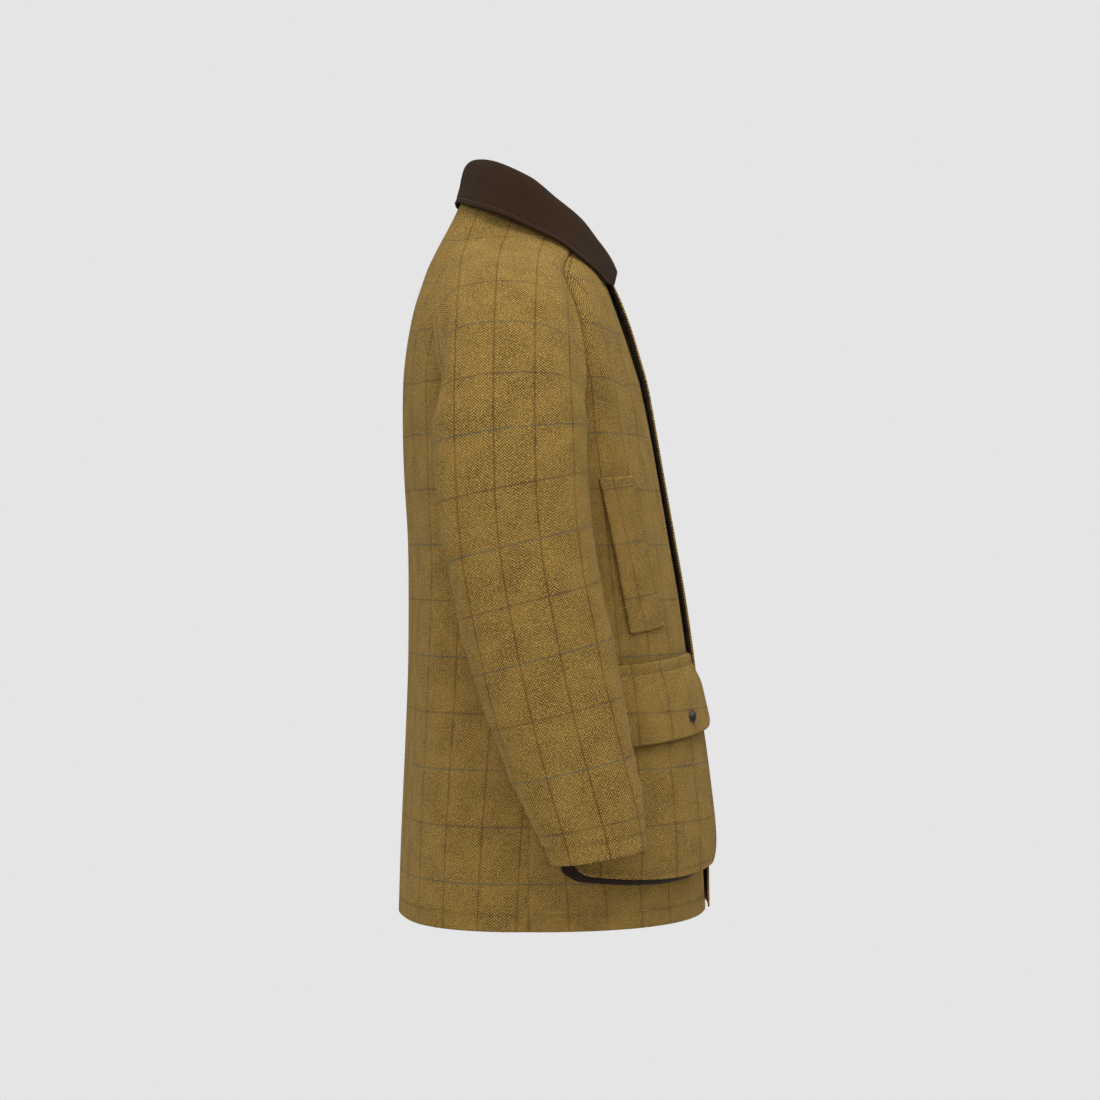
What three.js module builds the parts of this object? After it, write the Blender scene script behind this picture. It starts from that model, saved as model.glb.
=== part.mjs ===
// A hip-length tweed field coat, worn by nobody but holding its worn shape: raglan sleeves, turn-down collar,
// fly flap over the front, slanted hand-warmer welts and bellows pockets with stud-fastened flaps.
// Millimetres, +Z up. The coat faces -Y and its own right side is -X. The origin is at the middle of the neck
// base, level with the points where the neck meets the shoulders.
import * as THREE from 'three';

// Driving dimensions
const CLOTH = 2.2;
const HEM_CLOTH = 3.6;
const HEM_TURN_UP = 19;
const SEAM_GAP = 0.3;
const HEM_Z = -791;
const UNDERARM_Z = -262;
const FRONT_NECK_Z = -78;
const BACK_NECK_Z = 12;
const SHOULDER_ANGLE = 90;
const BACK_ANGLE = 180;

// Grid densities
const FRONT_COLUMNS = 11;
const BACK_COLUMNS = 10;
const SLEEVE_COLUMNS = 22;

// Body sections: height, half width at the front and at the back half, depth to the front and to the back
// from the middle, and how square the two halves are (2 is an ellipse).
const BODY = [
  { z: -791, frontHalf: 210, backHalf: 210, front: 199, back: 148, frontSquare: 2.3, backSquare: 2.5 },
  { z: -739, frontHalf: 208, backHalf: 208, front: 196, back: 146, frontSquare: 2.3, backSquare: 2.5 },
  { z: -672, frontHalf: 205, backHalf: 205, front: 192, back: 143.5, frontSquare: 2.3, backSquare: 2.5 },
  { z: -600, frontHalf: 202, backHalf: 202, front: 187, back: 140.5, frontSquare: 2.3, backSquare: 2.5 },
  { z: -525, frontHalf: 199, backHalf: 199, front: 180, back: 138, frontSquare: 2.3, backSquare: 2.5 },
  { z: -445, frontHalf: 197, backHalf: 197, front: 169, back: 136.8, frontSquare: 2.35, backSquare: 2.5 },
  { z: -376, frontHalf: 198, backHalf: 198, front: 157, back: 137.5, frontSquare: 2.4, backSquare: 2.5 },
  { z: -310, frontHalf: 200, backHalf: 200, front: 145, back: 141, frontSquare: 2.4, backSquare: 2.5 },
  { z: -262, frontHalf: 201, backHalf: 201, front: 136, back: 142.5, frontSquare: 2.4, backSquare: 2.5 },
  { z: -205, frontHalf: 203, backHalf: 203, front: 124.5, back: 142.5, frontSquare: 2.4, backSquare: 2.5 },
  { z: -175, frontHalf: 200, backHalf: 200, front: 116, back: 140.5, frontSquare: 2.4, backSquare: 2.5 },
  { z: -145, frontHalf: 194, backHalf: 192, front: 106.5, back: 136.5, frontSquare: 2.4, backSquare: 2.5 },
  { z: -115, frontHalf: 182, backHalf: 177, front: 96, back: 130.5, frontSquare: 2.4, backSquare: 2.5 },
  { z: -90, frontHalf: 160, backHalf: 160, front: 87, back: 123, frontSquare: 2.4, backSquare: 2.4 },
  { z: -70, frontHalf: 134, backHalf: 146, front: 79, back: 116, frontSquare: 2.4, backSquare: 2.4 },
  { z: -54, frontHalf: 108, backHalf: 133, front: 72, back: 108.5, frontSquare: 2.4, backSquare: 2.4 },
  { z: -42, frontHalf: 94, backHalf: 122, front: 66, back: 102.5, frontSquare: 2.4, backSquare: 2.4 },
  { z: -16, frontHalf: 82, backHalf: 98, front: 54, back: 89, frontSquare: 2.4, backSquare: 2.4 },
  { z: 0, frontHalf: 76, backHalf: 84, front: 48, back: 81.5, frontSquare: 2.4, backSquare: 2.4 },
  { z: 14, frontHalf: 72, backHalf: 72, front: 44, back: 75, frontSquare: 2.4, backSquare: 2.4 },
];

// Raglan seams from the underarm (rise 0) to the neckline (rise 1), as angle round the body and height.
const RAGLAN = [
  { rise: 0.00, frontAngle: 90, frontZ: -262, backAngle: 90, backZ: -262 },
  { rise: 0.05, frontAngle: 84, frontZ: -252, backAngle: 98, backZ: -254 },
  { rise: 0.12, frontAngle: 79, frontZ: -234, backAngle: 105.5, backZ: -238 },
  { rise: 0.22, frontAngle: 76.5, frontZ: -205, backAngle: 111, backZ: -212 },
  { rise: 0.34, frontAngle: 76, frontZ: -175, backAngle: 116, backZ: -180 },
  { rise: 0.46, frontAngle: 76.5, frontZ: -145, backAngle: 120, backZ: -148 },
  { rise: 0.58, frontAngle: 77.5, frontZ: -115, backAngle: 124.5, backZ: -114 },
  { rise: 0.70, frontAngle: 77, frontZ: -90, backAngle: 130, backZ: -80 },
  { rise: 0.82, frontAngle: 71, frontZ: -70, backAngle: 136, backZ: -45 },
  { rise: 0.92, frontAngle: 60, frontZ: -54, backAngle: 140, backZ: -16 },
  { rise: 1.00, frontAngle: 47.4, frontZ: -42, backAngle: 142.5, backZ: 6 },
];

// The sleeve over the shoulder: its outermost line seen from the front (out, z), the tilt of the ring there,
// half thickness, half depth, middle of the depth, and the half angle that the open ring spans.
const SHOULDER = [
  { rise: 0.00, out: 291, z: -243, tilt: 11, thick: 47, deep: 80, middle: 22, span: 180 },
  { rise: 0.05, out: 283, z: -215, tilt: 17, thick: 48, deep: 79, middle: 23, span: 150 },
  { rise: 0.12, out: 272, z: -182, tilt: 24, thick: 49, deep: 78, middle: 24, span: 130 },
  { rise: 0.22, out: 257, z: -151, tilt: 31, thick: 49, deep: 77, middle: 25, span: 118 },
  { rise: 0.34, out: 238, z: -123, tilt: 38, thick: 48, deep: 76, middle: 25, span: 108 },
  { rise: 0.46, out: 214, z: -100, tilt: 45, thick: 46, deep: 74, middle: 25, span: 101 },
  { rise: 0.58, out: 185, z: -82, tilt: 52, thick: 42, deep: 72, middle: 25, span: 95 },
  { rise: 0.70, out: 151, z: -65, tilt: 58, thick: 36, deep: 71, middle: 24, span: 90 },
  { rise: 0.82, out: 116, z: -46, tilt: 60, thick: 30, deep: 69, middle: 20, span: 85 },
  { rise: 0.92, out: 90, z: -23, tilt: 56, thick: 28, deep: 68, middle: 14, span: 78 },
  { rise: 1.00, out: 75, z: -3, tilt: 48, thick: 26, deep: 66, middle: 8, span: 72 },
];

// The sleeve below the underarm: height of the ring's middle, outer and inner reach across, middle and half
// of the depth, and how far the ring leans forward.
const ARM = [
  { z: -251, out: 292, inner: 201, middle: 22, deep: 80, lean: 0 },
  { z: -294, out: 301, inner: 206, middle: 18.6, deep: 80, lean: 2 },
  { z: -342, out: 306, inner: 207, middle: 15, deep: 79.5, lean: 4 },
  { z: -401, out: 309, inner: 207, middle: 6.7, deep: 78, lean: 7 },
  { z: -461, out: 311, inner: 208, middle: -6.3, deep: 77, lean: 9.5 },
  { z: -525, out: 311, inner: 212, middle: -21.5, deep: 73.5, lean: 11 },
  { z: -575, out: 311, inner: 217, middle: -35, deep: 70, lean: 11.5 },
  { z: -618, out: 310, inner: 221, middle: -48, deep: 65, lean: 11.5 },
  { z: -667, out: 309, inner: 225, middle: -63.5, deep: 57.5, lean: 11 },
  { z: -704, out: 308, inner: 226, middle: -74.4, deep: 50.3, lean: 10.2 },
];
const SLEEVE_SQUARE = 2.25;
const SEAM_PULL = 6;
const ARM_RINGS = 13;

// A fold fades over this share of its length, inside and outside each end
const FOLD_FADE = 0.3;

// Largest folds of the body: from one place to another (angle, height), with half width and depth; a
// positive depth is a ridge and a negative one a trough. They show on both sides.
const BODY_FOLDS = [
  { angle: 69, z: -108, toAngle: 63, toZ: -238, width: 15, depth: 5 },
  { angle: 55, z: -150, toAngle: 52, toZ: -270, width: 22, depth: -3 },
  { angle: 100, z: -330, toAngle: 104, toZ: -640, width: 26, depth: -4 },
  { angle: 122, z: -420, toAngle: 126, toZ: -760, width: 28, depth: 4 },
  { angle: 148, z: -300, toAngle: 150, toZ: -700, width: 34, depth: -3.5 },
];

// Largest folds of a sleeve: turn round the ring (0 outermost, 90 front, -90 rear) and place along it.
const SLEEVE_FOLDS = [
  { turn: -70, z: -120, toTurn: -95, toZ: -165, width: 13, depth: 4.5 },
  { turn: -60, z: -160, toTurn: -88, toZ: -215, width: 15, depth: -4 },
  { turn: 60, z: -430, toTurn: 105, toZ: -470, width: 16, depth: -4 },
  { turn: 50, z: -480, toTurn: 100, toZ: -505, width: 15, depth: 3 },
  { turn: -100, z: -380, toTurn: -60, toZ: -440, width: 18, depth: -3.5 },
  { turn: -105, z: -560, toTurn: -60, toZ: -600, width: 17, depth: -3 },
];

// Small helpers: degrees, blending and smooth reading of a table
const RAD = Math.PI / 180;
const sin = (degrees) => Math.sin(degrees * RAD);
const cos = (degrees) => Math.cos(degrees * RAD);
const mix = (from, to, share) => from + (to - from) * share;
const clamp = (value, low, high) => Math.min(Math.max(value, low), high);
const vec = (x, y, z) => new THREE.Vector3(x, y, z);

function smooth(low, high, value) {
  const share = clamp((value - low) / (high - low), 0, 1);
  return share * share * (3 - 2 * share);
}

// Reads one column of a table at a place on its first column, on a smooth curve through its rows
function along(table, key, place, column) {
  const last = table.length - 1;
  const up = table[last][key] > table[0][key] ? 1 : -1;
  let row = 0;
  while (row < last - 1 && (place - table[row + 1][key]) * up > 0) row += 1;
  const slopeAt = (i) => {
    const before = table[Math.max(i - 1, 0)];
    const after = table[Math.min(i + 1, last)];
    return (after[column] - before[column]) / (after[key] - before[key]);
  };
  const span = table[row + 1][key] - table[row][key];
  const t = clamp((place - table[row][key]) / span, 0, 1);
  const [a, b] = [table[row][column], table[row + 1][column]];
  const [slopeA, slopeB] = [slopeAt(row) * span, slopeAt(row + 1) * span];
  const square = t * t;
  const cube = square * t;
  return a * (2 * cube - 3 * square + 1) + slopeA * (cube - 2 * square + t)
    + b * (3 * square - 2 * cube) + slopeB * (cube - square);
}

// Sum of the folds that reach a place, measured on a surface that is `radius` round
function foldHeight(folds, turnKey, toKey, turn, z, radius) {
  let height = 0;
  for (const fold of folds) {
    const runX = (fold[toKey] - fold[turnKey]) * RAD * radius;
    const runZ = fold.toZ - fold.z;
    const length = Math.hypot(runX, runZ);
    const offX = (turn - fold[turnKey]) * RAD * radius;
    const offZ = z - fold.z;
    const forward = (offX * runX + offZ * runZ) / length;
    const sideways = (offX * runZ - offZ * runX) / length;
    const fade = FOLD_FADE * length;
    const ends = smooth(-fade, fade, forward) * smooth(-fade, fade, length - forward);
    height += fold.depth * ends * Math.exp(-((sideways / fold.width) ** 2));
  }
  return height;
}

// A point of the body's outer surface, by angle (0 centre front, 90 the side, 180 centre back) and height,
// moved out by `proud`. Side -1 is the coat's right and +1 its left.
function bodyRadius(angle, z) {
  const front = angle < SHOULDER_ANGLE;
  const half = along(BODY, 'z', z, front ? 'frontHalf' : 'backHalf');
  const depth = along(BODY, 'z', z, front ? 'front' : 'back');
  const power = along(BODY, 'z', z, front ? 'frontSquare' : 'backSquare');
  const across = Math.abs(sin(angle) / half) ** power;
  const through = Math.abs(cos(angle) / depth) ** power;
  const radius = (across + through) ** (-1 / power);
  return radius + foldHeight(BODY_FOLDS, 'angle', 'toAngle', angle, z, radius);
}

function bodySurface(angle, z) {
  const radius = bodyRadius(Math.abs(angle), z);
  return vec(-radius * sin(angle), -radius * cos(angle), z);
}

function bodyPoint(side, angle, z, proud = 0) {
  const point = bodySurface(angle, z);
  if (proud !== 0) {
    const aroundStep = bodySurface(angle + 0.5, z).sub(bodySurface(angle - 0.5, z));
    const upStep = bodySurface(angle, z + 2).sub(bodySurface(angle, z - 2));
    point.addScaledVector(upStep.cross(aroundStep).normalize(), proud);
  }
  point.x *= -side;
  return point;
}

// Seams of one side, as points by rise
function raglanPoint(side, rise, where) {
  const angle = along(RAGLAN, 'rise', rise, where + 'Angle');
  const z = along(RAGLAN, 'rise', rise, where + 'Z');
  return bodyPoint(side, angle, z);
}

// Grids of outer points, row by row, are turned into closed walls. A grid may be closed round its rows from
// some row on, as a sleeve is below the underarm.
function gridNormals(grid, facing, closedFrom = Infinity) {
  const lastRow = grid.length - 1;
  return grid.map((row, i) => row.map((point, j) => {
    const lastColumn = row.length - 1;
    const closed = i >= closedFrom;
    const before = j > 0 ? row[j - 1] : (closed ? row[lastColumn - 1] : row[0]);
    const after = j < lastColumn ? row[j + 1] : (closed ? row[1] : row[lastColumn]);
    const below = grid[Math.max(i - 1, 0)][j];
    const above = grid[Math.min(i + 1, lastRow)][j];
    const around = after.clone().sub(before);
    return above.clone().sub(below).cross(around).normalize().multiplyScalar(facing);
  }));
}

// Gives two pieces one shared normal along their seam, so that their cut edges are parallel
function matchSeam(pairs) {
  for (const [first, second] of pairs) {
    const shared = first.clone().add(second).normalize();
    first.copy(shared);
    second.copy(shared);
  }
}

// Draws a grid's named edges in by half a seam gap
function drawIn(grid, edges) {
  const lastRow = grid.length - 1;
  const pull = (point, toward) => {
    const step = toward.clone().sub(point);
    return point.clone().addScaledVector(step, (SEAM_GAP * 0.6) / step.length());
  };
  let drawn = grid;
  if (edges.includes('start')) drawn = drawn.map((row) => [pull(row[0], row[1]), ...row.slice(1)]);
  if (edges.includes('end')) {
    drawn = drawn.map((row) => [...row.slice(0, -1), pull(row[row.length - 1], row[row.length - 2])]);
  }
  if (edges.includes('bottom')) {
    drawn = drawn.map((row, i) => (i === 0 ? row.map((point, j) => pull(point, grid[1][j])) : row));
  }
  if (edges.includes('top')) {
    const toward = grid[lastRow - 1];
    drawn = drawn.map((row, i) => (i === lastRow ? row.map((point, j) => pull(point, toward[j])) : row));
  }
  return drawn;
}

function wall(grid, normals, thickness, closedFrom = Infinity) {
  const columns = grid[0].length;
  const positions = [];
  const outer = [];
  const inner = [];
  grid.forEach((row, i) => {
    outer.push([]);
    inner.push([]);
    row.forEach((point, j) => {
      if (i >= closedFrom && j === columns - 1) {
        outer[i].push(outer[i][0]);
        inner[i].push(inner[i][0]);
        return;
      }
      const depth = typeof thickness === 'function' ? thickness(i, j, point) : thickness;
      const inside = point.clone().addScaledVector(normals[i][j], -depth);
      outer[i].push(positions.length / 3);
      positions.push(point.x, point.y, point.z);
      inner[i].push(positions.length / 3);
      positions.push(inside.x, inside.y, inside.z);
    });
  });
  const faces = [];
  const quad = (a, b, c, d) => faces.push(a, b, c, a, c, d);
  const lastRow = grid.length - 1;
  const lastColumn = columns - 1;
  for (let i = 0; i < lastRow; i += 1) {
    for (let j = 0; j < lastColumn; j += 1) {
      quad(outer[i][j], outer[i + 1][j], outer[i + 1][j + 1], outer[i][j + 1]);
      quad(inner[i][j], inner[i][j + 1], inner[i + 1][j + 1], inner[i + 1][j]);
    }
    if (i < closedFrom) {
      quad(outer[i][0], inner[i][0], inner[i + 1][0], outer[i + 1][0]);
      quad(outer[i][lastColumn], outer[i + 1][lastColumn], inner[i + 1][lastColumn], inner[i][lastColumn]);
    }
  }
  for (let j = 0; j < lastColumn; j += 1) {
    quad(outer[0][j], outer[0][j + 1], inner[0][j + 1], inner[0][j]);
    quad(outer[lastRow][j], inner[lastRow][j], inner[lastRow][j + 1], outer[lastRow][j + 1]);
  }
  return closedGeometry(positions, faces);
}

// Turns the faces round where they point into the solid
function closedGeometry(positions, faces) {
  let volume = 0;
  const at = (i) => vec(positions[3 * i], positions[3 * i + 1], positions[3 * i + 2]);
  for (let f = 0; f < faces.length; f += 3) {
    volume += at(faces[f]).dot(at(faces[f + 1]).cross(at(faces[f + 2])));
  }
  const order = volume > 0 ? faces : faces.map((_, f) => faces[f - (f % 3) + [0, 2, 1][f % 3]]);
  const geometry = new THREE.BufferGeometry();
  geometry.setAttribute('position', new THREE.Float32BufferAttribute(positions, 3));
  geometry.setIndex(order);
  geometry.computeVertexNormals();
  return geometry;
}

// Materials
const paint = (color, roughness, metalness = 0) => (
  new THREE.MeshStandardMaterial({ color, roughness, metalness }));
const TWEED = paint(0x7c6430, 0.95);
const NEEDLECORD = paint(0x33231a, 0.9);
const FACING = paint(0x2b1d16, 0.92);
const GUNMETAL = paint(0x4a4f5a, 0.4, 0.9);

const coat = new THREE.Group();
function add(name, geometry, material) {
  const mesh = new THREE.Mesh(geometry, material);
  mesh.name = name;
  coat.add(mesh);
  return mesh;
}

// Heights of the body's rows below the underarm
const BODY_ROWS = [HEM_Z, HEM_Z + HEM_TURN_UP, -735, -690, -640, -590, -540, -490, -440, -390, -345, -300];
const RISES = RAGLAN.map((row) => row.rise);

// How sharply the rows of a panel bend between its middle and the raglan seam
const FRONT_DIP = 1.5;
const BACK_DIP = 2;

// Height of a place on a front panel's row above the underarm, and on the back's
function frontHeight(rise, share) {
  const edge = along(RAGLAN, 'rise', rise, 'frontZ');
  const edgeTop = RAGLAN[RAGLAN.length - 1].frontZ;
  const middle = mix(UNDERARM_Z, FRONT_NECK_Z, (edge - UNDERARM_Z) / (edgeTop - UNDERARM_Z));
  return edge + (middle - edge) * (1 - share) ** FRONT_DIP;
}

function backHeight(rise, share) {
  const edge = along(RAGLAN, 'rise', rise, 'backZ');
  const edgeTop = RAGLAN[RAGLAN.length - 1].backZ;
  const middle = mix(UNDERARM_Z, BACK_NECK_Z, (edge - UNDERARM_Z) / (edgeTop - UNDERARM_Z));
  return edge + (middle - edge) * (1 - share ** BACK_DIP);
}

// A front panel, from the centre front (share 0) to the side seam and raglan seam (share 1)
function frontGrid(side) {
  const shares = Array.from({ length: FRONT_COLUMNS }, (_, j) => j / (FRONT_COLUMNS - 1));
  const low = BODY_ROWS.map((z) => shares.map((share) => bodyPoint(side, share * SHOULDER_ANGLE, z)));
  const high = RISES.map((rise) => shares.map((share) => {
    const angle = share * along(RAGLAN, 'rise', rise, 'frontAngle');
    return bodyPoint(side, angle, frontHeight(rise, share));
  }));
  return [...low, ...high];
}

// Half of the back, from the side and raglan seams (share 1) to the centre back (share 0)
function halfBackGrid(side) {
  const shares = Array.from({ length: BACK_COLUMNS }, (_, j) => 1 - j / (BACK_COLUMNS - 1));
  const turn = (share, edge) => BACK_ANGLE - share * (BACK_ANGLE - edge);
  const low = BODY_ROWS.map((z) => shares.map((share) => bodyPoint(side, turn(share, SHOULDER_ANGLE), z)));
  const high = RISES.map((rise) => shares.map((share) => {
    const angle = turn(share, along(RAGLAN, 'rise', rise, 'backAngle'));
    return bodyPoint(side, angle, backHeight(rise, share));
  }));
  return [...low, ...high];
}

function backGrid() {
  const right = halfBackGrid(-1);
  const left = halfBackGrid(1);
  return right.map((row, i) => [...row, ...left[i].slice(0, -1).reverse()]);
}

// A sleeve ring: an oval from its front end round the outside to its rear end
function ovalArc(side, ring, span) {
  const outward = vec(side * cos(ring.tilt), 0, sin(ring.tilt));
  const forward = vec(0, -cos(ring.lean), sin(ring.lean));
  const power = 2 / SLEEVE_SQUARE;
  const bend = (value) => Math.sign(value) * Math.abs(value) ** power;
  return Array.from({ length: SLEEVE_COLUMNS + 1 }, (_, j) => {
    const turn = span * (1 - (2 * j) / SLEEVE_COLUMNS);
    const swell = foldHeight(SLEEVE_FOLDS, 'turn', 'toTurn', turn, ring.centre.z, ring.deep);
    const point = ring.centre.clone();
    point.addScaledVector(outward, (ring.thick + swell) * bend(cos(turn)));
    return point.addScaledVector(forward, (ring.deep + swell) * bend(sin(turn)));
  });
}

function shoulderRing(side, rise) {
  const read = (column) => along(SHOULDER, 'rise', rise, column);
  const tilt = read('tilt');
  const thick = read('thick');
  const out = read('out') - thick * cos(tilt);
  const centre = vec(side * out, read('middle'), read('z') - thick * sin(tilt));
  const arc = ovalArc(side, { centre, tilt, lean: 0, thick, deep: read('deep') }, read('span'));
  const front = raglanPoint(side, rise, 'front').sub(arc[0]);
  const back = raglanPoint(side, rise, 'back').sub(arc[SLEEVE_COLUMNS]);
  return arc.map((point, j) => {
    const share = j / SLEEVE_COLUMNS;
    point.addScaledVector(front, (1 - share) ** SEAM_PULL);
    return point.addScaledVector(back, share ** SEAM_PULL);
  });
}

function armRing(side, z) {
  const read = (column) => along(ARM, 'z', z, column);
  const [out, inner] = [read('out'), read('inner')];
  const centre = vec(side * (out + inner) / 2, read('middle'), z);
  const thick = (out - inner) / 2;
  return ovalArc(side, { centre, tilt: 0, lean: read('lean'), thick, deep: read('deep') }, BACK_ANGLE);
}

function sleeveGrid(side) {
  const shoulder = [...RISES].reverse().map((rise) => shoulderRing(side, rise));
  const cuffZ = ARM[ARM.length - 1].z;
  const arm = Array.from({ length: ARM_RINGS }, (_, k) => {
    const z = mix(ARM[1].z, cuffZ + HEM_TURN_UP, k / (ARM_RINGS - 1));
    return armRing(side, z);
  });
  return [...shoulder, ...arm, armRing(side, cuffZ)];
}

// The coat's cloth: fronts, back and sleeves, with shared normals along the seams
const SIDES = { right: -1, left: 1 };
const UNDERARM_ROW = BODY_ROWS.length;
const TOP_ROW = UNDERARM_ROW + RISES.length - 1;
const SLEEVE_CLOSED_FROM = RISES.length - 1;
const LAST_FRONT = FRONT_COLUMNS - 1;
const backPanel = backGrid();
const backNormals = gridNormals(backPanel, 1);
const LAST_BACK = backPanel[0].length - 1;
const panels = {};
for (const [name, side] of Object.entries(SIDES)) {
  const front = frontGrid(side);
  const sleeve = sleeveGrid(side);
  const frontNormals = gridNormals(front, -side);
  const sleeveNormals = gridNormals(sleeve, side, SLEEVE_CLOSED_FROM);
  const backEdge = side === SIDES.right ? 0 : LAST_BACK;
  matchSeam(frontNormals.slice(0, UNDERARM_ROW).map((row, i) => [row[LAST_FRONT], backNormals[i][backEdge]]));
  const underarm = [frontNormals[UNDERARM_ROW][LAST_FRONT], backNormals[UNDERARM_ROW][backEdge]];
  const sleeveRing = sleeveNormals[SLEEVE_CLOSED_FROM];
  [...underarm, sleeveRing[0], sleeveRing[SLEEVE_COLUMNS]].forEach((normal) => normal.set(0, 0, -1));
  [0, SLEEVE_COLUMNS].forEach((j) => { sleeve[SLEEVE_CLOSED_FROM][j].x += side * 2 * SEAM_GAP; });
  for (let i = UNDERARM_ROW + 1; i <= TOP_ROW; i += 1) {
    const ring = sleeveNormals[TOP_ROW - i];
    matchSeam([
      [frontNormals[i][LAST_FRONT], ring[0]],
      [backNormals[i][backEdge], ring[SLEEVE_COLUMNS]],
    ]);
  }
  panels[name] = { side, front, sleeve, frontNormals, sleeveNormals };
}

const hemThickness = (hemRows) => (i) => (hemRows.includes(i) ? HEM_CLOTH : CLOTH);
for (const [name, panel] of Object.entries(panels)) {
  const front = drawIn(panel.front, ['start', 'end', 'top']);
  add(`front_${name}`, wall(front, panel.frontNormals, hemThickness([0, 1])), TWEED);
  const lastRing = panel.sleeve.length - 1;
  const sleeve = drawIn(panel.sleeve, ['bottom']).map((ring, i) => (
    i < SLEEVE_CLOSED_FROM ? drawIn([ring, ring], ['start', 'end'])[0] : ring));
  const cuff = hemThickness([lastRing - 1, lastRing]);
  add(`sleeve_${name}`, wall(sleeve, panel.sleeveNormals, cuff, SLEEVE_CLOSED_FROM), TWEED);
}
const backDrawn = drawIn(backPanel, ['start', 'end', 'top']);
add('back', wall(backDrawn, backNormals, hemThickness([0, 1])), TWEED);

// Collar: a stand that rises inside the neckline, a fold, and a fall that lies over the shoulders
const COLLAR_CLOTH = 2.6;
const COLLAR_TIP_SWING = 31;
const COLLAR_FOLD = [
  { angle: 0, radius: 90, z: -66 },
  { angle: 32, radius: 86, z: -38 },
  { angle: 48, radius: 84, z: -17 },
  { angle: 68, radius: 82, z: 3 },
  { angle: 90, radius: 79, z: 27 },
  { angle: 127, radius: 71, z: 48 },
  { angle: 180, radius: 66, z: 55 },
];
const COLLAR_EDGE = [
  { angle: 30, radius: 109, z: -91 },
  { angle: 40, radius: 114, z: -90 },
  { angle: 50, radius: 119, z: -80 },
  { angle: 62, radius: 123, z: -66 },
  { angle: 75, radius: 123.5, z: -48.5 },
  { angle: 90, radius: 114, z: -33 },
  { angle: 108, radius: 110, z: -17 },
  { angle: 130, radius: 102, z: -5 },
  { angle: 155, radius: 90, z: 4 },
  { angle: 180, radius: 85, z: 6 },
];

const polar = (angle, radius, z) => vec(-radius * sin(angle), -radius * cos(angle), z);

// How far the stand and the fall lie from the fold, and how high up the stand its points are
const COLLAR_ROLL = { stand: 4.5, fall: 4, halfway: 0.45, halfRise: 0.4, topRise: 0.86 };

// One line of the collar from the neckline up to the fold and down to the outer edge. Swing carries the
// outer edge back from the front end of the fold to the tip.
function collarLine(neckPoint) {
  const angle = Math.atan2(-neckPoint.x, -neckPoint.y) / RAD;
  const turn = Math.abs(angle);
  const edgeTurn = turn + COLLAR_TIP_SWING * (1 - turn / BACK_ANGLE) ** 3;
  const way = Math.sign(angle) || 1;
  const foldRadius = along(COLLAR_FOLD, 'angle', turn, 'radius');
  const foldZ = along(COLLAR_FOLD, 'angle', turn, 'z');
  const edgeRadius = along(COLLAR_EDGE, 'angle', edgeTurn, 'radius');
  const edgeZ = along(COLLAR_EDGE, 'angle', edgeTurn, 'z');
  const neckRadius = Math.hypot(neckPoint.x, neckPoint.y);
  const standTop = foldRadius - COLLAR_ROLL.stand;
  const halfway = mix(neckRadius, standTop, COLLAR_ROLL.halfway) - 1;
  const line = [
    neckPoint.clone().add(vec(0, 0, SEAM_GAP * 1.5)),
    polar(angle, halfway, mix(neckPoint.z, foldZ, COLLAR_ROLL.halfRise)),
    polar(angle, standTop, mix(neckPoint.z, foldZ, COLLAR_ROLL.topRise)),
    polar(angle, foldRadius, foldZ),
  ];
  const fall = (share, bulge) => {
    const fallAngle = way * mix(turn, edgeTurn, share);
    const radius = mix(foldRadius + COLLAR_ROLL.fall, edgeRadius, share) + bulge;
    return polar(fallAngle, radius, mix(foldZ, edgeZ, share));
  };
  return [...line, fall(0.12, 1.5), fall(0.36, 2), fall(0.6, 0.5), fall(0.82, 0), fall(1, 0)];
}

// The neckline, from the right front edge round the back to the left front edge
const neckline = [
  ...drawIn(panels.right.front, ['end'])[TOP_ROW].slice(1),
  ...panels.right.sleeve[0].slice(1, -1),
  ...backPanel[TOP_ROW],
  ...panels.left.sleeve[0].slice(1, -1).reverse(),
  ...panels.left.front[TOP_ROW].slice(1).reverse(),
];
const collarGrid = neckline.filter((_, i) => i % 2 === 0).map(collarLine);
add('collar', wall(collarGrid, gridNormals(collarGrid, 1), COLLAR_CLOTH), NEEDLECORD);

// What lies on the fronts. A place on a piece is its share across (0 at the front) and up (0 at the bottom).
function patchGrid(side, acrossShares, upShares, placeAt, proudAt) {
  return upShares.map((up) => acrossShares.map((across) => {
    const { angle, z } = placeAt(across, up);
    return bodyPoint(side, angle, z, proudAt(across, up, z));
  }));
}
const shares = (count) => Array.from({ length: count + 1 }, (_, i) => i / count);
const EASED_SHARES = [0, 0.025, 0.07, 0.14, 0.26, 0.4, 0.55, 0.7, 0.82, 0.9, 0.95, 0.98, 1];

// Hand-warmer welt
const WELT = { topFront: 53.2, topRear: 67.7, bottomFront: 40.7, bottomRear: 57 };
const WELT_HEIGHT = { topFront: -308, topRear: -311, bottomFront: -471, bottomRear: -478 };
const WELT_CLOTH = 2.4;
const weltPlace = (across, up) => ({
  angle: mix(mix(WELT.bottomFront, WELT.topFront, up), mix(WELT.bottomRear, WELT.topRear, up), across),
  z: mix(
    mix(WELT_HEIGHT.bottomFront, WELT_HEIGHT.topFront, up),
    mix(WELT_HEIGHT.bottomRear, WELT_HEIGHT.topRear, up),
    across,
  ),
});
const WELT_GAPE = 2.6;
const weltProud = (across, up) => (
  WELT_CLOTH + 2 * SEAM_GAP + WELT_GAPE * smooth(0.3, 1, across) * Math.sqrt(sin(180 * up)));

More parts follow.
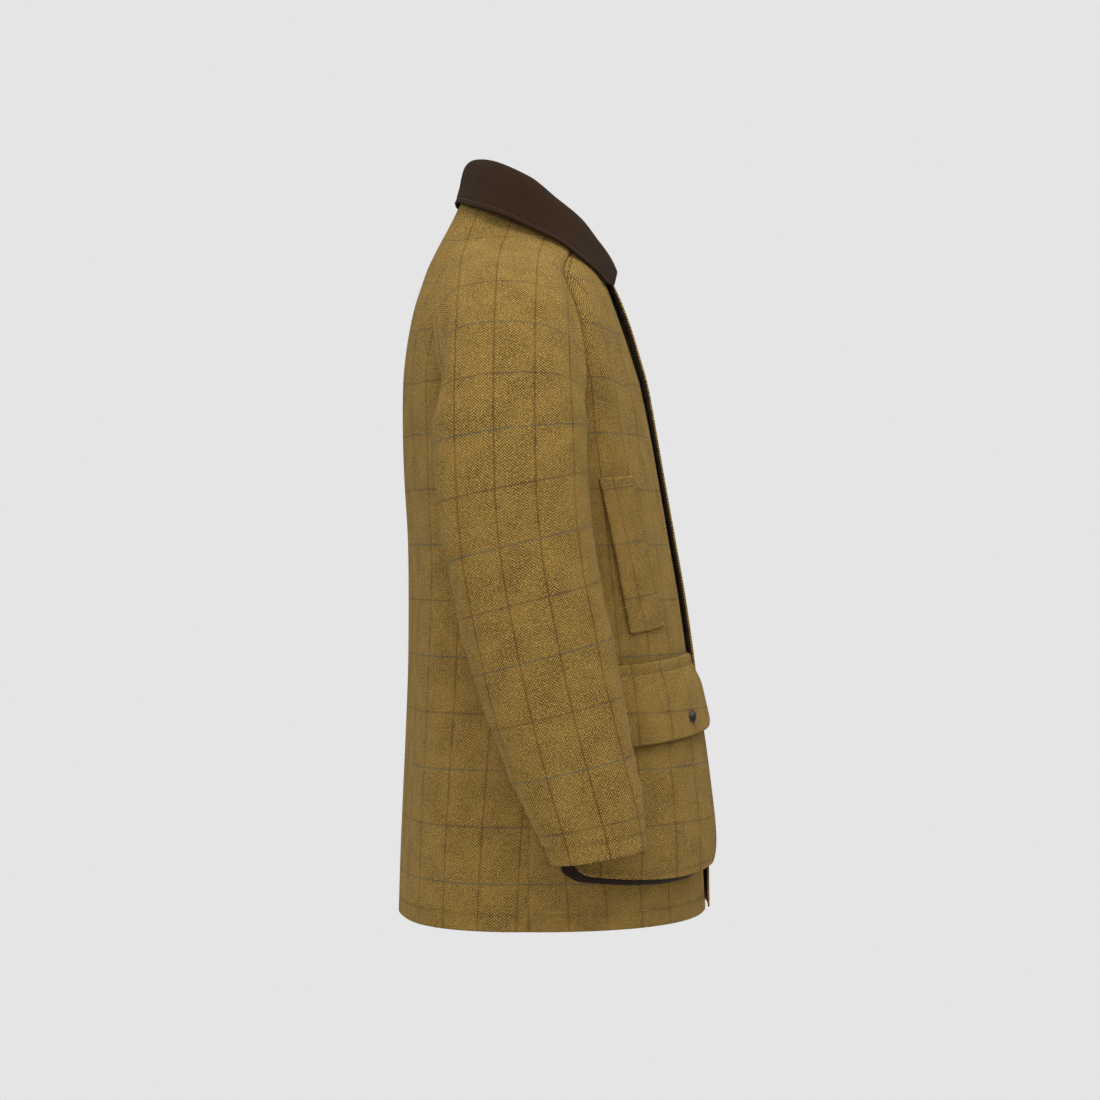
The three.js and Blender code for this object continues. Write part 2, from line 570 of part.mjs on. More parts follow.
// Bellows pocket: its front panel, the gusset behind it and the flap over its mouth
const POCKET = {
  front: 19,
  rear: 78.5,
  topZ: -534,
  frontBottomZ: -732,
  rearBottomZ: -730,
  sag: 9,
  corner: 24,
};
const POCKET_WIDTH = 215;
const POCKET_CLOTH = 2.3;
const POCKET_PROUD = [
  { z: -740, proud: 18.5 },
  { z: -700, proud: 20.5 },
  { z: -640, proud: 17.5 },
  { z: -587, proud: 14 },
  { z: -534, proud: 10 },
];
const REAR_FLATTENING = 0.52;
const flatten = (across) => 1 - REAR_FLATTENING * smooth(0.42, 1, across);

function roundedCorner(across) {
  const fromEnd = Math.min(across, 1 - across) * POCKET_WIDTH;
  const inside = clamp(1 - fromEnd / POCKET.corner, 0, 1);
  return POCKET.corner * (1 - Math.sqrt(1 - inside * inside));
}

function pocketPlace(across, up) {
  const bottom = mix(POCKET.frontBottomZ, POCKET.rearBottomZ, across) - POCKET.sag * sin(180 * across)
    + roundedCorner(across);
  return { angle: mix(POCKET.front, POCKET.rear, across), z: mix(bottom, POCKET.topZ, up) };
}
const pocketProud = (across, _, z) => along(POCKET_PROUD, 'z', z, 'proud') * flatten(across);

// The gusset is a band that follows the pocket's sides and bottom, folded inward along its middle and spread
// past the pocket's edge where it meets the front
const GUSSET = {
  inset: 0.022,
  lift: 0.022,
  cloth: 1.6,
  tuck: 0.006,
  flare: 0.052,
  topUp: 0.86,
  clear: 1,
  topClear: 1.6,
};

function gussetPath(extra) {
  const inset = GUSSET.inset + extra;
  const lift = GUSSET.lift + extra;
  const side = [0.7, 0.5, 0.25, 0.1];
  const bottom = [0, 0.04, 0.1, 0.2, 0.35, 0.5, 0.65, 0.8, 0.9, 0.96, 1];
  return [
    [inset, GUSSET.topUp],
    ...side.map((up) => [inset, up]),
    ...bottom.map((share) => [mix(inset, 1 - inset, share), lift]),
    ...side.map((up) => [1 - inset, up]).reverse(),
    [1 - inset, GUSSET.topUp],
  ];
}

function gussetGrid(side) {
  const row = (extra, level) => gussetPath(extra).map(([across, up]) => {
    const { angle, z } = pocketPlace(across, up);
    const full = pocketProud(across, up, z) - POCKET_CLOTH - GUSSET.topClear;
    return bodyPoint(side, angle, z, mix(GUSSET.clear, full, level));
  });
  return [row(-GUSSET.flare, 0), row(GUSSET.tuck, 0.5), row(0, 1)];
}

// Pocket flap
const POCKET_FLAP = {
  front: 17,
  rear: 79.5,
  topFrontZ: -502,
  topRearZ: -517,
  bottomFrontZ: -584,
  bottomRearZ: -604,
};
const FLAP_CLOTH = 2.8;
const FLAP_PROUD = [
  { z: -606, proud: 22.5 },
  { z: -583, proud: 21.5 },
  { z: -560, proud: 18.5 },
  { z: -535, proud: 14.6 },
  { z: -518, proud: 8.5 },
  { z: -500, proud: 5 },
];
const flapPlace = (across, up) => ({
  angle: mix(POCKET_FLAP.front, POCKET_FLAP.rear, across),
  z: mix(
    mix(POCKET_FLAP.bottomFrontZ, POCKET_FLAP.bottomRearZ, across) + roundedCorner(across) * 0.4,
    mix(POCKET_FLAP.topFrontZ, POCKET_FLAP.topRearZ, across) - roundedCorner(across) * 0.15,
    up,
  ),
});
const FLAP_SEWN_PROUD = 4;
const flapProud = (across, _, z) => (
  mix(FLAP_SEWN_PROUD, along(FLAP_PROUD, 'z', z, 'proud'), flatten(across)));

// A press stud's cap, standing on a surface with its axis along the normal
const STUD_RADIUS = 6.8;
const STUD_SIDES = 14;
const STUD_PROFILE = [[0, 0], [0.94, 0], [1, 0.12], [0.88, 0.27], [0.6, 0.35], [0, 0.33]];
function addStud(name, side, angle, z, proud, radius) {
  const profile = STUD_PROFILE.map(([r, h]) => new THREE.Vector2(r * radius, h * radius));
  const stud = add(name, new THREE.LatheGeometry(profile, STUD_SIDES), GUNMETAL);
  const foot = bodyPoint(side, angle, z, proud);
  const up = bodyPoint(side, angle, z, proud + 1).sub(foot).normalize();
  stud.position.copy(foot);
  stud.quaternion.setFromUnitVectors(vec(0, 1, 0), up);
}

const POCKET_STUDS = { front: 36, rear: 66.5, z: -571, clear: 2.5 * SEAM_GAP };
for (const [name, side] of Object.entries(SIDES)) {
  const welt = patchGrid(side, shares(5), shares(8), weltPlace, weltProud);
  add(`welt_${name}`, wall(welt, gridNormals(welt, -side), WELT_CLOTH), TWEED);
  const pocket = patchGrid(side, EASED_SHARES, shares(9), pocketPlace, pocketProud);
  add(`pocket_front_${name}`, wall(pocket, gridNormals(pocket, -side), POCKET_CLOTH), TWEED);
  const gusset = gussetGrid(side);
  add(`pocket_gusset_${name}`, wall(gusset, gridNormals(gusset, side), GUSSET.cloth), FACING);
  const flap = patchGrid(side, EASED_SHARES, shares(6), flapPlace, flapProud);
  add(`pocket_flap_${name}`, wall(flap, gridNormals(flap, -side), FLAP_CLOTH), TWEED);
  for (const end of ['front', 'rear']) {
    const angle = POCKET_STUDS[end];
    const across = (angle - POCKET_FLAP.front) / (POCKET_FLAP.rear - POCKET_FLAP.front);
    const proud = flapProud(across, 0, POCKET_STUDS.z) + POCKET_STUDS.clear;
    addStud(`flap_stud_${end}_${name}`, side, angle, POCKET_STUDS.z, proud, STUD_RADIUS);
  }
}

// Fly flap: sewn to the left front, lapping over the right, with a dark facing under its free half and press
// studs between the facing and the right front. `x` is how far a place lies to the coat's left of centre.
const FLY = { cloth: 2.2, sewnFrom: 20, sewnTo: 36 };
const FLY_FACING = { cloth: 1.8, clear: 1.6 * SEAM_GAP, endZ: -740 };
const FLY_COLUMNS = [-35, -31, -18, 0, 14, 22, 28, 33, 38];
const FACING_COLUMNS = [-33.5, -29, -18, 0, 12, 20];
const FLY_ROWS = [
  -789, -740, -690, -640, -590, -540, -490, -440, -390, -345, -300, -262, -225, -190, -160, -130, -105, -81,
];
const FLY_PROUD = [
  { z: -790, proud: 5 },
  { z: -700, proud: 8.2 },
  { z: -300, proud: 8.2 },
  { z: -180, proud: 9.6 },
  { z: -120, proud: 10.4 },
  { z: -80, proud: 7 },
];
const flyAngle = (x, z) => -Math.atan2(x, along(BODY, 'z', z, 'front')) / RAD;
function flyPoint(x, z, sink) {
  const full = along(FLY_PROUD, 'z', z, 'proud');
  const sewn = FLY.cloth + 2 * SEAM_GAP;
  return bodyPoint(-1, flyAngle(x, z), z, mix(full, sewn, smooth(FLY.sewnFrom, FLY.sewnTo, x)) - sink);
}
const fly = FLY_ROWS.map((z) => FLY_COLUMNS.map((x) => flyPoint(x, z, 0)));
add('fly_flap', wall(fly, gridNormals(fly, -1), FLY.cloth), TWEED);
const facingPoint = (x, z) => flyPoint(x, z, FLY.cloth + FLY_FACING.clear);
const facingRows = FLY_ROWS.filter((z) => z >= FLY_FACING.endZ);
const facing = facingRows.map((z) => FACING_COLUMNS.map((x) => facingPoint(x, z)));
add('fly_facing', wall(facing, gridNormals(facing, -1), FLY_FACING.cloth), FACING);
const FLY_STUDS = { x: -22, z: [-657, -505, -353, -201, -120], radius: 5.6 };
FLY_STUDS.z.forEach((z, i) => {
  addStud(`fly_stud_${i + 1}`, -1, flyAngle(FLY_STUDS.x, z), z, 2 * SEAM_GAP, FLY_STUDS.radius);
});

export default coat;
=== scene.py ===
"""Tweed field coat in its worn, hollow shape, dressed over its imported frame.

The coat faces -Y, its own right side is -X, and the origin is at the middle of the neck base. Tables and
sizes are in millimetres; meshes are in metres.
"""
import math
from functools import cache

import bpy
import numpy as np
from bpy.props import FloatProperty, FloatVectorProperty, PointerProperty
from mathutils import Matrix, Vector


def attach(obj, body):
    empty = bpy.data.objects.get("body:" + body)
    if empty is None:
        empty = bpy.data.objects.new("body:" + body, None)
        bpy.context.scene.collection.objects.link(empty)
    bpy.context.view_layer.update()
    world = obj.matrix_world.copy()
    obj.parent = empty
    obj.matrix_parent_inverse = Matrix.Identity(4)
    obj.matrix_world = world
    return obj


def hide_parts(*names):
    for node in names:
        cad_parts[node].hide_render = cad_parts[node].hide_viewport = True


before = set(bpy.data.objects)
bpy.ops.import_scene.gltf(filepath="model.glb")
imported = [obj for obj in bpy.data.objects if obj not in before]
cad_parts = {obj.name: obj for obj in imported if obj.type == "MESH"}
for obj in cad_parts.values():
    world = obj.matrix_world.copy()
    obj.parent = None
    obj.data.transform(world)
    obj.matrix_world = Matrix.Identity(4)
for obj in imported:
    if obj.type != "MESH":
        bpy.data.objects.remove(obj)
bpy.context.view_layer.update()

bl_info = {
    "name": "Tweed Field Coat",
    "version": (1, 0, 0),
    "blender": (4, 5, 0),
    "location": "View3D > Sidebar > Coat",
    "description": "Builds a tweed field coat, piece by piece, over its packed frame",
    "category": "Object",
}

# Sizes shared with the frame's solids
MM = 0.001
HEM_Z = -791
UNDERARM_Z = -262
SIDE_ANGLE = 90
BACK_ANGLE = 180
SEAM_GAP = 0.3
HEM_TURN_UP = 18
CLOTH = 2.2
HEM_CLOTH = 3.6
SIDES = {"right": -1, "left": 1}


def table(columns, *rows):
    """Rows of numbers under named columns, ordered by the first column."""
    names = columns.split()
    ordered = sorted(rows)
    return {name: np.array([row[i] for row in ordered], float) for i, name in enumerate(names)}


# Body sections: height, half width of the front and back halves, depths and squareness
BODY = table(
    "z front_half back_half front back front_square back_square",
    (-791, 210, 210, 199, 148, 2.3, 2.5),
    (-739, 208, 208, 196, 146, 2.3, 2.5),
    (-672, 205, 205, 192, 143.5, 2.3, 2.5),
    (-600, 202, 202, 187, 140.5, 2.3, 2.5),
    (-525, 199, 199, 180, 138, 2.3, 2.5),
    (-445, 197, 197, 169, 136.8, 2.35, 2.5),
    (-376, 198, 198, 157, 137.5, 2.4, 2.5),
    (-310, 200, 200, 145, 141, 2.4, 2.5),
    (-262, 201, 201, 136, 142.5, 2.4, 2.5),
    (-205, 203, 203, 124.5, 142.5, 2.4, 2.5),
    (-175, 200, 200, 116, 140.5, 2.4, 2.5),
    (-145, 194, 192, 106.5, 136.5, 2.4, 2.5),
    (-115, 182, 177, 96, 130.5, 2.4, 2.5),
    (-90, 160, 160, 87, 123, 2.4, 2.4),
    (-70, 134, 146, 79, 116, 2.4, 2.4),
    (-54, 108, 133, 72, 108.5, 2.4, 2.4),
    (-42, 94, 122, 66, 102.5, 2.4, 2.4),
    (-16, 82, 98, 54, 89, 2.4, 2.4),
    (0, 76, 84, 48, 81.5, 2.4, 2.4),
    (14, 72, 72, 44, 75, 2.4, 2.4),
)

# Raglan seams from the underarm (rise 0) to the neckline (rise 1)
RAGLAN = table(
    "rise front_angle front_z back_angle back_z",
    (0.00, 90, -262, 90, -262),
    (0.05, 84, -252, 98, -254),
    (0.12, 79, -234, 105.5, -238),
    (0.22, 76.5, -205, 111, -212),
    (0.34, 76, -175, 116, -180),
    (0.46, 76.5, -145, 120, -148),
    (0.58, 77.5, -115, 124.5, -114),
    (0.70, 77, -90, 130, -80),
    (0.82, 71, -70, 136, -45),
    (0.92, 60, -54, 140, -16),
    (1.00, 47.4, -42, 142.5, 6),
)

# The sleeve over the shoulder, ring by ring
SHOULDER = table(
    "rise out z tilt thick deep middle span",
    (0.00, 291, -243, 11, 47, 80, 22, 180),
    (0.05, 283, -215, 17, 48, 79, 23, 150),
    (0.12, 272, -182, 24, 49, 78, 24, 130),
    (0.22, 257, -151, 31, 49, 77, 25, 118),
    (0.34, 238, -123, 38, 48, 76, 25, 108),
    (0.46, 214, -100, 45, 46, 74, 25, 101),
    (0.58, 185, -82, 52, 42, 72, 25, 95),
    (0.70, 151, -65, 58, 36, 71, 24, 90),
    (0.82, 116, -46, 60, 30, 69, 20, 85),
    (0.92, 90, -23, 56, 28, 68, 14, 78),
    (1.00, 75, -3, 48, 26, 66, 8, 72),
)

# The sleeve below the underarm, ring by ring
ARM = table(
    "z out inner middle deep lean",
    (-251, 292, 201, 22, 80, 0),
    (-294, 301, 206, 18.6, 80, 2),
    (-342, 306, 207, 15, 79.5, 4),
    (-401, 309, 207, 6.7, 78, 7),
    (-461, 311, 208, -6.3, 77, 9.5),
    (-525, 311, 212, -21.5, 73.5, 11),
    (-575, 311, 217, -35, 70, 11.5),
    (-618, 310, 221, -48, 65, 11.5),
    (-667, 309, 225, -63.5, 57.5, 11),
    (-704, 308, 226, -74.4, 50.3, 10.2),
)
SLEEVE_SQUARE = 2.25
SEAM_PULL = 6
CUFF_Z = -704
ARM_TOP_Z = -294

# Folds from one place to another, with half width and depth; a positive depth is a ridge. The first five of
# the body and the first six of the sleeve are in the frame's solids too, some of them softer or fuller here.
BODY_FOLDS = table(
    "angle z to_angle to_z width depth",
    (69, -108, 63, -238, 15, 5),
    (55, -150, 52, -270, 22, -3),
    (100, -330, 104, -640, 26, -4),
    (122, -420, 126, -760, 28, 4),
    (148, -300, 150, -700, 34, -3.5),
    (76.5, -96, 75, -222, 8, -17),
    (118, -134, 111, -238, 8, -7),
    (62, -255, 58, -300, 14, 2),
    (84, -292, 76, -420, 12, 2.2),
    (88, -310, 81, -520, 12, -2.4),
    (28, -165, 33, -410, 14, -2),
    (19, -200, 24, -470, 12, 1.6),
    (38, -250, 45, -300, 12, -1.6),
    (112, -560, 115, -765, 13, 2),
    (96, -500, 92, -770, 13, -2.2),
    (105, -200, 116, -330, 12, -3),
    (112, -190, 127, -380, 15, 2.4),
    (135, -240, 130, -440, 16, -2),
    (160, -180, 163, -520, 16, 1.7),
    (162, -560, 160, -770, 20, 1.5),
)
SLEEVE_FOLDS = table(
    "turn z to_turn to_z width depth",
    (-82, -120, -98, -190, 12, 8),
    (-60, -160, -88, -215, 15, -5),
    (60, -430, 105, -470, 16, -1.4),
    (50, -480, 100, -505, 15, 0.8),
    (-100, -380, -60, -440, 18, -2),
    (-105, -560, -60, -600, 17, -1.8),
    (-97, -200, -90, -300, 14, 2.5),
    (85, -112, 90, -225, 9, 8),
    (30, -180, 52, -330, 14, 1.6),
    (-28, -215, -48, -370, 15, -1.8),
    (-8, -330, 12, -520, 13, 1.2),
    (-112, -420, -72, -446, 9, -1.3),
    (-104, -462, -66, -474, 8, 1.5),
    (-84, -612, -50, -640, 9, 1.4),
    (100, -590, 58, -628, 10, -1.8),
    (96, -640, 62, -664, 8, 1.3),
    (112, -300, 140, -380, 12, 1.8),
    (-124, -290, -84, -326, 10, -1.8),
    (150, -420, 175, -480, 12, -1.6),
    (-150, -500, -172, -560, 12, 1.6),
)


def smooth(low, high, value):
    """Eased share of the way from low to high."""
    share = np.clip((value - low) / (high - low), 0, 1)
    return share * share * (3 - 2 * share)


def mix(start, end, share):
    return start + (end - start) * share


def eased(count):
    """Shares from 0 to 1 that are much closer together toward both ends."""
    return 0.5 - 0.5 * np.cos(np.pi * np.linspace(0, 1, count))


def crowded(count):
    """Shares from 0 to 1, closer together toward both ends."""
    return mix(np.linspace(0, 1, count), eased(count), 0.75)


def distances(line):
    """Distance run along a line of points, from its first."""
    return np.concatenate([[0], np.cumsum(np.linalg.norm(np.diff(line, axis=0), axis=1))])


def along(rows, key, place, column):
    """Read a column at a place on the key column, on a smooth curve through the rows."""
    x = rows[key]
    y = rows[column]
    slope = np.empty_like(y)
    slope[1:-1] = (y[2:] - y[:-2]) / (x[2:] - x[:-2])
    slope[0] = (y[1] - y[0]) / (x[1] - x[0])
    slope[-1] = (y[-1] - y[-2]) / (x[-1] - x[-2])
    place = np.asarray(place, float)
    i = np.clip(np.searchsorted(x, place) - 1, 0, len(x) - 2)
    span = x[i + 1] - x[i]
    t = np.clip((place - x[i]) / span, 0, 1)
    square = t * t
    cube = square * t
    return (
        y[i] * (2 * cube - 3 * square + 1)
        + slope[i] * span * (cube - 2 * square + t)
        + y[i + 1] * (3 * square - 2 * cube)
        + slope[i + 1] * span * (cube - square)
    )


def fold_height(folds, turn_key, turn, z, radius):
    """Sum of the folds that reach a place on a surface of this radius."""
    height = np.zeros(np.broadcast(turn, z).shape)
    for k in range(len(folds["z"])):
        run_x = np.radians(folds["to_" + turn_key][k] - folds[turn_key][k]) * radius
        run_z = folds["to_z"][k] - folds["z"][k]
        length = np.hypot(run_x, run_z)
        off_x = np.radians(turn - folds[turn_key][k]) * radius
        off_z = z - folds["z"][k]
        forward = (off_x * run_x + off_z * run_z) / length
        sideways = (off_x * run_z - off_z * run_x) / length
        fade = 0.3 * length
        ends = smooth(-fade, fade, forward) * smooth(-fade, fade, length - forward)
        height = height + folds["depth"][k] * ends * np.exp(-((sideways / folds["width"][k]) ** 2))
    return height


def body_radius(angle, z):
    front = angle < SIDE_ANGLE
    half = np.where(front, along(BODY, "z", z, "front_half"), along(BODY, "z", z, "back_half"))
    depth = np.where(front, along(BODY, "z", z, "front"), along(BODY, "z", z, "back"))
    power = np.where(front, along(BODY, "z", z, "front_square"), along(BODY, "z", z, "back_square"))
    turn = np.radians(angle)
    across = np.abs(np.sin(turn) / half) ** power
    through = np.abs(np.cos(turn) / depth) ** power
    radius = (across + through) ** (-1 / power)
    return radius + fold_height(BODY_FOLDS, "angle", angle, z, radius)


def body_surface(angle, z):
    radius = body_radius(np.abs(angle), z)
    turn = np.radians(angle)
    shape = np.broadcast(turn, z).shape
    return np.stack([-radius * np.sin(turn), -radius * np.cos(turn), np.broadcast_to(z, shape)], axis=-1)


def unit(vectors):
    length = np.linalg.norm(vectors, axis=-1, keepdims=True)
    return vectors / np.maximum(length, 1e-9)


def body_point(side, angle, z, proud=0.0):
    """Points of the body's outer surface, moved out by proud; side -1 is the coat's right."""
    angle = np.asarray(angle, float)
    z = np.asarray(z, float)
    angle, z = np.broadcast_arrays(angle, z)
    around = body_surface(angle + 0.5, z) - body_surface(angle - 0.5, z)
    up = body_surface(angle, z + 2) - body_surface(angle, z - 2)
    points = body_surface(angle, z) + unit(np.cross(up, around)) * np.asarray(proud, float)[..., None]
    points[..., 0] *= -side
    return points


def raglan_point(side, rise, where):
    angle = along(RAGLAN, "rise", rise, where + "_angle")
    z = along(RAGLAN, "rise", rise, where + "_z")
    return body_point(side, angle, z)


# Cloth as closed sheets: a grid of outer points, its inner side, and a rounded rim
def grid_normals(grid, facing, closed_from=None):
    """Outward normals of a grid; rows from closed_from on run round and meet themselves."""
    around = np.empty_like(grid)
    around[:, 1:-1] = grid[:, 2:] - grid[:, :-2]
    around[:, 0] = grid[:, 1] - grid[:, 0]
    around[:, -1] = grid[:, -1] - grid[:, -2]
    if closed_from is not None:
        seam = grid[closed_from:, 1] - grid[closed_from:, -2]
        around[closed_from:, 0] = seam
        around[closed_from:, -1] = seam
    up = np.empty_like(grid)
    up[1:-1] = grid[2:] - grid[:-2]
    up[0] = grid[1] - grid[0]
    up[-1] = grid[-1] - grid[-2]
    return unit(np.cross(up, around)) * facing


def run_lengths(grid, axis):
    """Distance run along the grid's rows (axis 1) or columns (axis 0)."""
    steps = np.linalg.norm(np.diff(grid, axis=axis), axis=2)
    start = np.zeros_like(steps[:, :1] if axis == 1 else steps[:1])
    return np.concatenate([start, np.cumsum(steps, axis=axis)], axis=axis)


def sheet_object(name, grid, normals, thickness, cloth, finish, closed_from=None, edge=0.35):
    """A closed sheet of cloth from its outer grid in millimetres. The cloth array gives each point's place
    on the cut piece, across and along, in millimetres, for the weave."""
    rows, columns = grid.shape[:2]
    thick = np.broadcast_to(np.asarray(thickness, float), (rows, columns))[..., None]
    inner = grid - normals * thick
    points = [grid.reshape(-1, 3), inner.reshape(-1, 3)]
    index = np.arange(rows * columns).reshape(rows, columns)
    if closed_from is not None:
        index[closed_from:, -1] = index[closed_from:, 0]
    inside = index + rows * columns
    seam_uv = np.arange(rows * columns).reshape(rows, columns)
    faces = []
    face_uv = []

    def quads(a, b, c, d, uv):
        faces.append(np.stack([a, b, c, d], axis=-1).reshape(-1, 4))
        face_uv.append(np.stack(uv, axis=-1).reshape(-1, 4))

    corner = (seam_uv[:-1, :-1], seam_uv[1:, :-1], seam_uv[1:, 1:], seam_uv[:-1, 1:])
    quads(index[:-1, :-1], index[1:, :-1], index[1:, 1:], index[:-1, 1:], corner)
    back = (corner[0], corner[3], corner[2], corner[1])
    quads(inside[:-1, :-1], inside[:-1, 1:], inside[1:, 1:], inside[1:, :-1], back)

    top = rows - 1
    open_rows = rows if closed_from is None else closed_from + 1
    rims = [
        (list(range(columns)), [0] * columns, 1),
        (list(range(columns)), [top] * columns, -1),
        ([0] * open_rows, list(range(open_rows)), -1),
        ([columns - 1] * open_rows, list(range(open_rows)), 1),
    ]
    extra = rows * columns * 2
    middles = {}

    def middle_of(i, j):
        """The rim's middle point, pushed out past the edge so that the edge is rounded."""
        nonlocal extra
        key = int(index[i, j])
        if key not in middles:
            neighbour_i = 1 if i == 0 else (top - 1 if i == top else i)
            neighbour_j = 1 if j == 0 else (columns - 2 if j == columns - 1 else j)
            if rows_closed(i):
                neighbour_j = j
            out = unit(grid[i, j] - grid[neighbour_i, neighbour_j])
            middles[key] = extra
            points.append(((grid[i, j] + inner[i, j]) / 2 + out * thick[i, j] * edge).reshape(1, 3))
            extra += 1
        return middles[key]

    def rows_closed(i):
        return closed_from is not None and i >= closed_from

    for js, rim_rows, way in rims:
        for k in range(len(js) - 1):
            i0, i1, j0, j1 = rim_rows[k], rim_rows[k + 1], js[k], js[k + 1]
            m0, m1 = middle_of(i0, j0), middle_of(i1, j1)
            uv = (seam_uv[i0, j0], seam_uv[i1, j1], seam_uv[i1, j1], seam_uv[i0, j0])
            for a0, a1, b1, b0 in (
                (index[i0, j0], index[i1, j1], m1, m0),
                (m0, m1, inside[i1, j1], inside[i0, j0]),
            ):
                ring = (a0, a1, b1, b0) if way > 0 else (b0, b1, a1, a0)
                ring_uv = uv if way > 0 else (uv[3], uv[2], uv[1], uv[0])
                faces.append(np.array([ring]))
                face_uv.append(np.array([ring_uv]))

    all_points = np.concatenate(points)
    all_faces = np.concatenate(faces).astype(int)
    all_uv = cloth.reshape(-1, 2)[np.concatenate(face_uv).astype(int)]
    return mesh_object(name, all_points, all_faces, finish, all_uv)


def mesh_object(name, points, faces, finish, uv=None):
    """A smooth-shaded object from points in millimetres and faces of one size, turned to face outward."""
    corners = [points[faces[:, k]] for k in range(faces.shape[1])]
    volume = 0
    for second, third in zip(corners[1:], corners[2:]):
        volume += np.einsum("ij,ij->", corners[0], np.cross(second, third))
    if volume < 0:
        faces = faces[:, ::-1]
        uv = None if uv is None else uv[:, ::-1]
    mesh = bpy.data.meshes.new(name)
    mesh.from_pydata((points * MM).tolist(), [], faces.tolist())
    if uv is not None:
        layer = mesh.uv_layers.new(name="cloth")
        layer.data.foreach_set("uv", (uv * MM).reshape(-1))
    mesh.polygons.foreach_set("use_smooth", np.ones(len(mesh.polygons), dtype=bool))
    mesh.update()
    mesh.validate()
    piece = bpy.data.objects.new(name, mesh)
    bpy.context.scene.collection.objects.link(piece)
    mesh.materials.append(finish)
    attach(piece, "root")
    return piece


SEAM_DRAW = 0.6 * SEAM_GAP


def draw_in(grid, edges):
    """Pull the named edges of a grid in, so that the seam shows as a thin line."""
    drawn = grid.copy()

    def pull(edge, toward):
        return edge + unit(toward - edge) * SEAM_DRAW

    if "start" in edges:
        drawn[:, 0] = pull(grid[:, 0], grid[:, 1])
    if "end" in edges:
        drawn[:, -1] = pull(grid[:, -1], grid[:, -2])
    if "top" in edges:
        drawn[-1] = pull(drawn[-1], drawn[-2])
    return drawn


# The coat's cloth: fronts, back and sleeves
HEM_ROWS_REACH = 30
HEM_ROWS = 26
BODY_ROWS = 94
BODY_HEIGHTS = np.concatenate(
    [
        np.linspace(HEM_Z, HEM_Z + HEM_ROWS_REACH, HEM_ROWS)[:-1],
        np.linspace(HEM_Z + HEM_ROWS_REACH, UNDERARM_Z, BODY_ROWS)[:-1],
    ]
)
SEAM_RISES = np.linspace(0, 1, 52) ** 1.1
FRONT_COLUMNS = 92
BACK_COLUMNS = 84
SLEEVE_COLUMNS = 126
UNDERARM_RINGS = 8
ARM_RINGS = 84
CUFF_RINGS = 22
# Height of the neckline's middle, and how fast the rows reach it from the raglan seam
NECK = {"front": {"z": -78, "power": 1.5}, "back": {"z": 12, "power": 2}}
# Wave lengths and swing of the unevenness along a seam or row of stitches
PUCKER = {"short": 2.3, "long": 6.1, "swing": 0.3}
# How far a row of stitches lies proud of the cloth, and a distance past the reach of any pucker
THREAD_LIFT = 0.1
FAR_AWAY = 1e3


def pucker(grid, normals, distance, depth=1.0, width=2.2):
    """Draw a surface in along a seam or row of stitches, unevenly, given each point's distance from it."""
    run = run_lengths(grid, axis=1) + run_lengths(grid, axis=0)
    waves = np.sin(run / PUCKER["short"]) + np.sin(run / PUCKER["long"] + 2)
    uneven = 1 + PUCKER["swing"] * waves
    return grid - normals * (depth * np.exp(-((distance / width) ** 2)) * uneven)[..., None]


def hem_thickness(distance, cloth, hem_cloth):
    """Thickness at a distance up from a turned hem."""
    return mix(hem_cloth, cloth, smooth(HEM_TURN_UP - 1, HEM_TURN_UP + 1.5, distance))


def rise_height(rise, share, where):
    """Height of a place on a row above the underarm; share is 1 at the raglan seam and 0 at the middle."""
    column = where + "_z"
    edge = along(RAGLAN, "rise", rise, column)
    top = RAGLAN[column][-1]
    middle = mix(UNDERARM_Z, NECK[where]["z"], (edge - UNDERARM_Z) / (top - UNDERARM_Z))
    power = NECK[where]["power"]
    if where == "front":
        return edge + (middle - edge) * (1 - share) ** power
    return edge + (middle - edge) * (1 - share**power)


def body_cloth(grid, start):
    """Place on the cut cloth: across from the start column, and up the surface."""
    across = run_lengths(grid[..., :2], axis=1)
    across = np.abs(across - across[:, start : start + 1])
    low = len(BODY_HEIGHTS)
    reach = np.linalg.norm(grid[..., :2], axis=2)
    rise = np.hypot(np.diff(grid[..., 2], axis=0), np.diff(reach, axis=0))
    up = grid[..., 2].copy()
    up[low + 1 :] = up[low] + np.cumsum(rise[low:], axis=0)
    return np.stack([across, up], axis=2)


def front_grid(side):
    share = crowded(FRONT_COLUMNS)[None, :]
    low = body_point(side, share * SIDE_ANGLE, BODY_HEIGHTS[:, None])
    rise = SEAM_RISES[:, None]
    angle = share * along(RAGLAN, "rise", rise, "front_angle")
    high = body_point(side, angle, rise_height(rise, share, "front"))
    return np.concatenate([low, high])


def back_grid():
    share = 1 - crowded(2 * BACK_COLUMNS - 1)[None, :BACK_COLUMNS] * 2
    rise = SEAM_RISES[:, None]
    halves = {}
    for name, side in SIDES.items():
        low = body_point(side, BACK_ANGLE - share * (BACK_ANGLE - SIDE_ANGLE), BODY_HEIGHTS[:, None])
        angle = BACK_ANGLE - share * (BACK_ANGLE - along(RAGLAN, "rise", rise, "back_angle"))
        high = body_point(side, angle, rise_height(rise, share, "back"))
        halves[name] = np.concatenate([low, high])
    return np.concatenate([halves["right"], halves["left"][:, -2::-1]], axis=1)


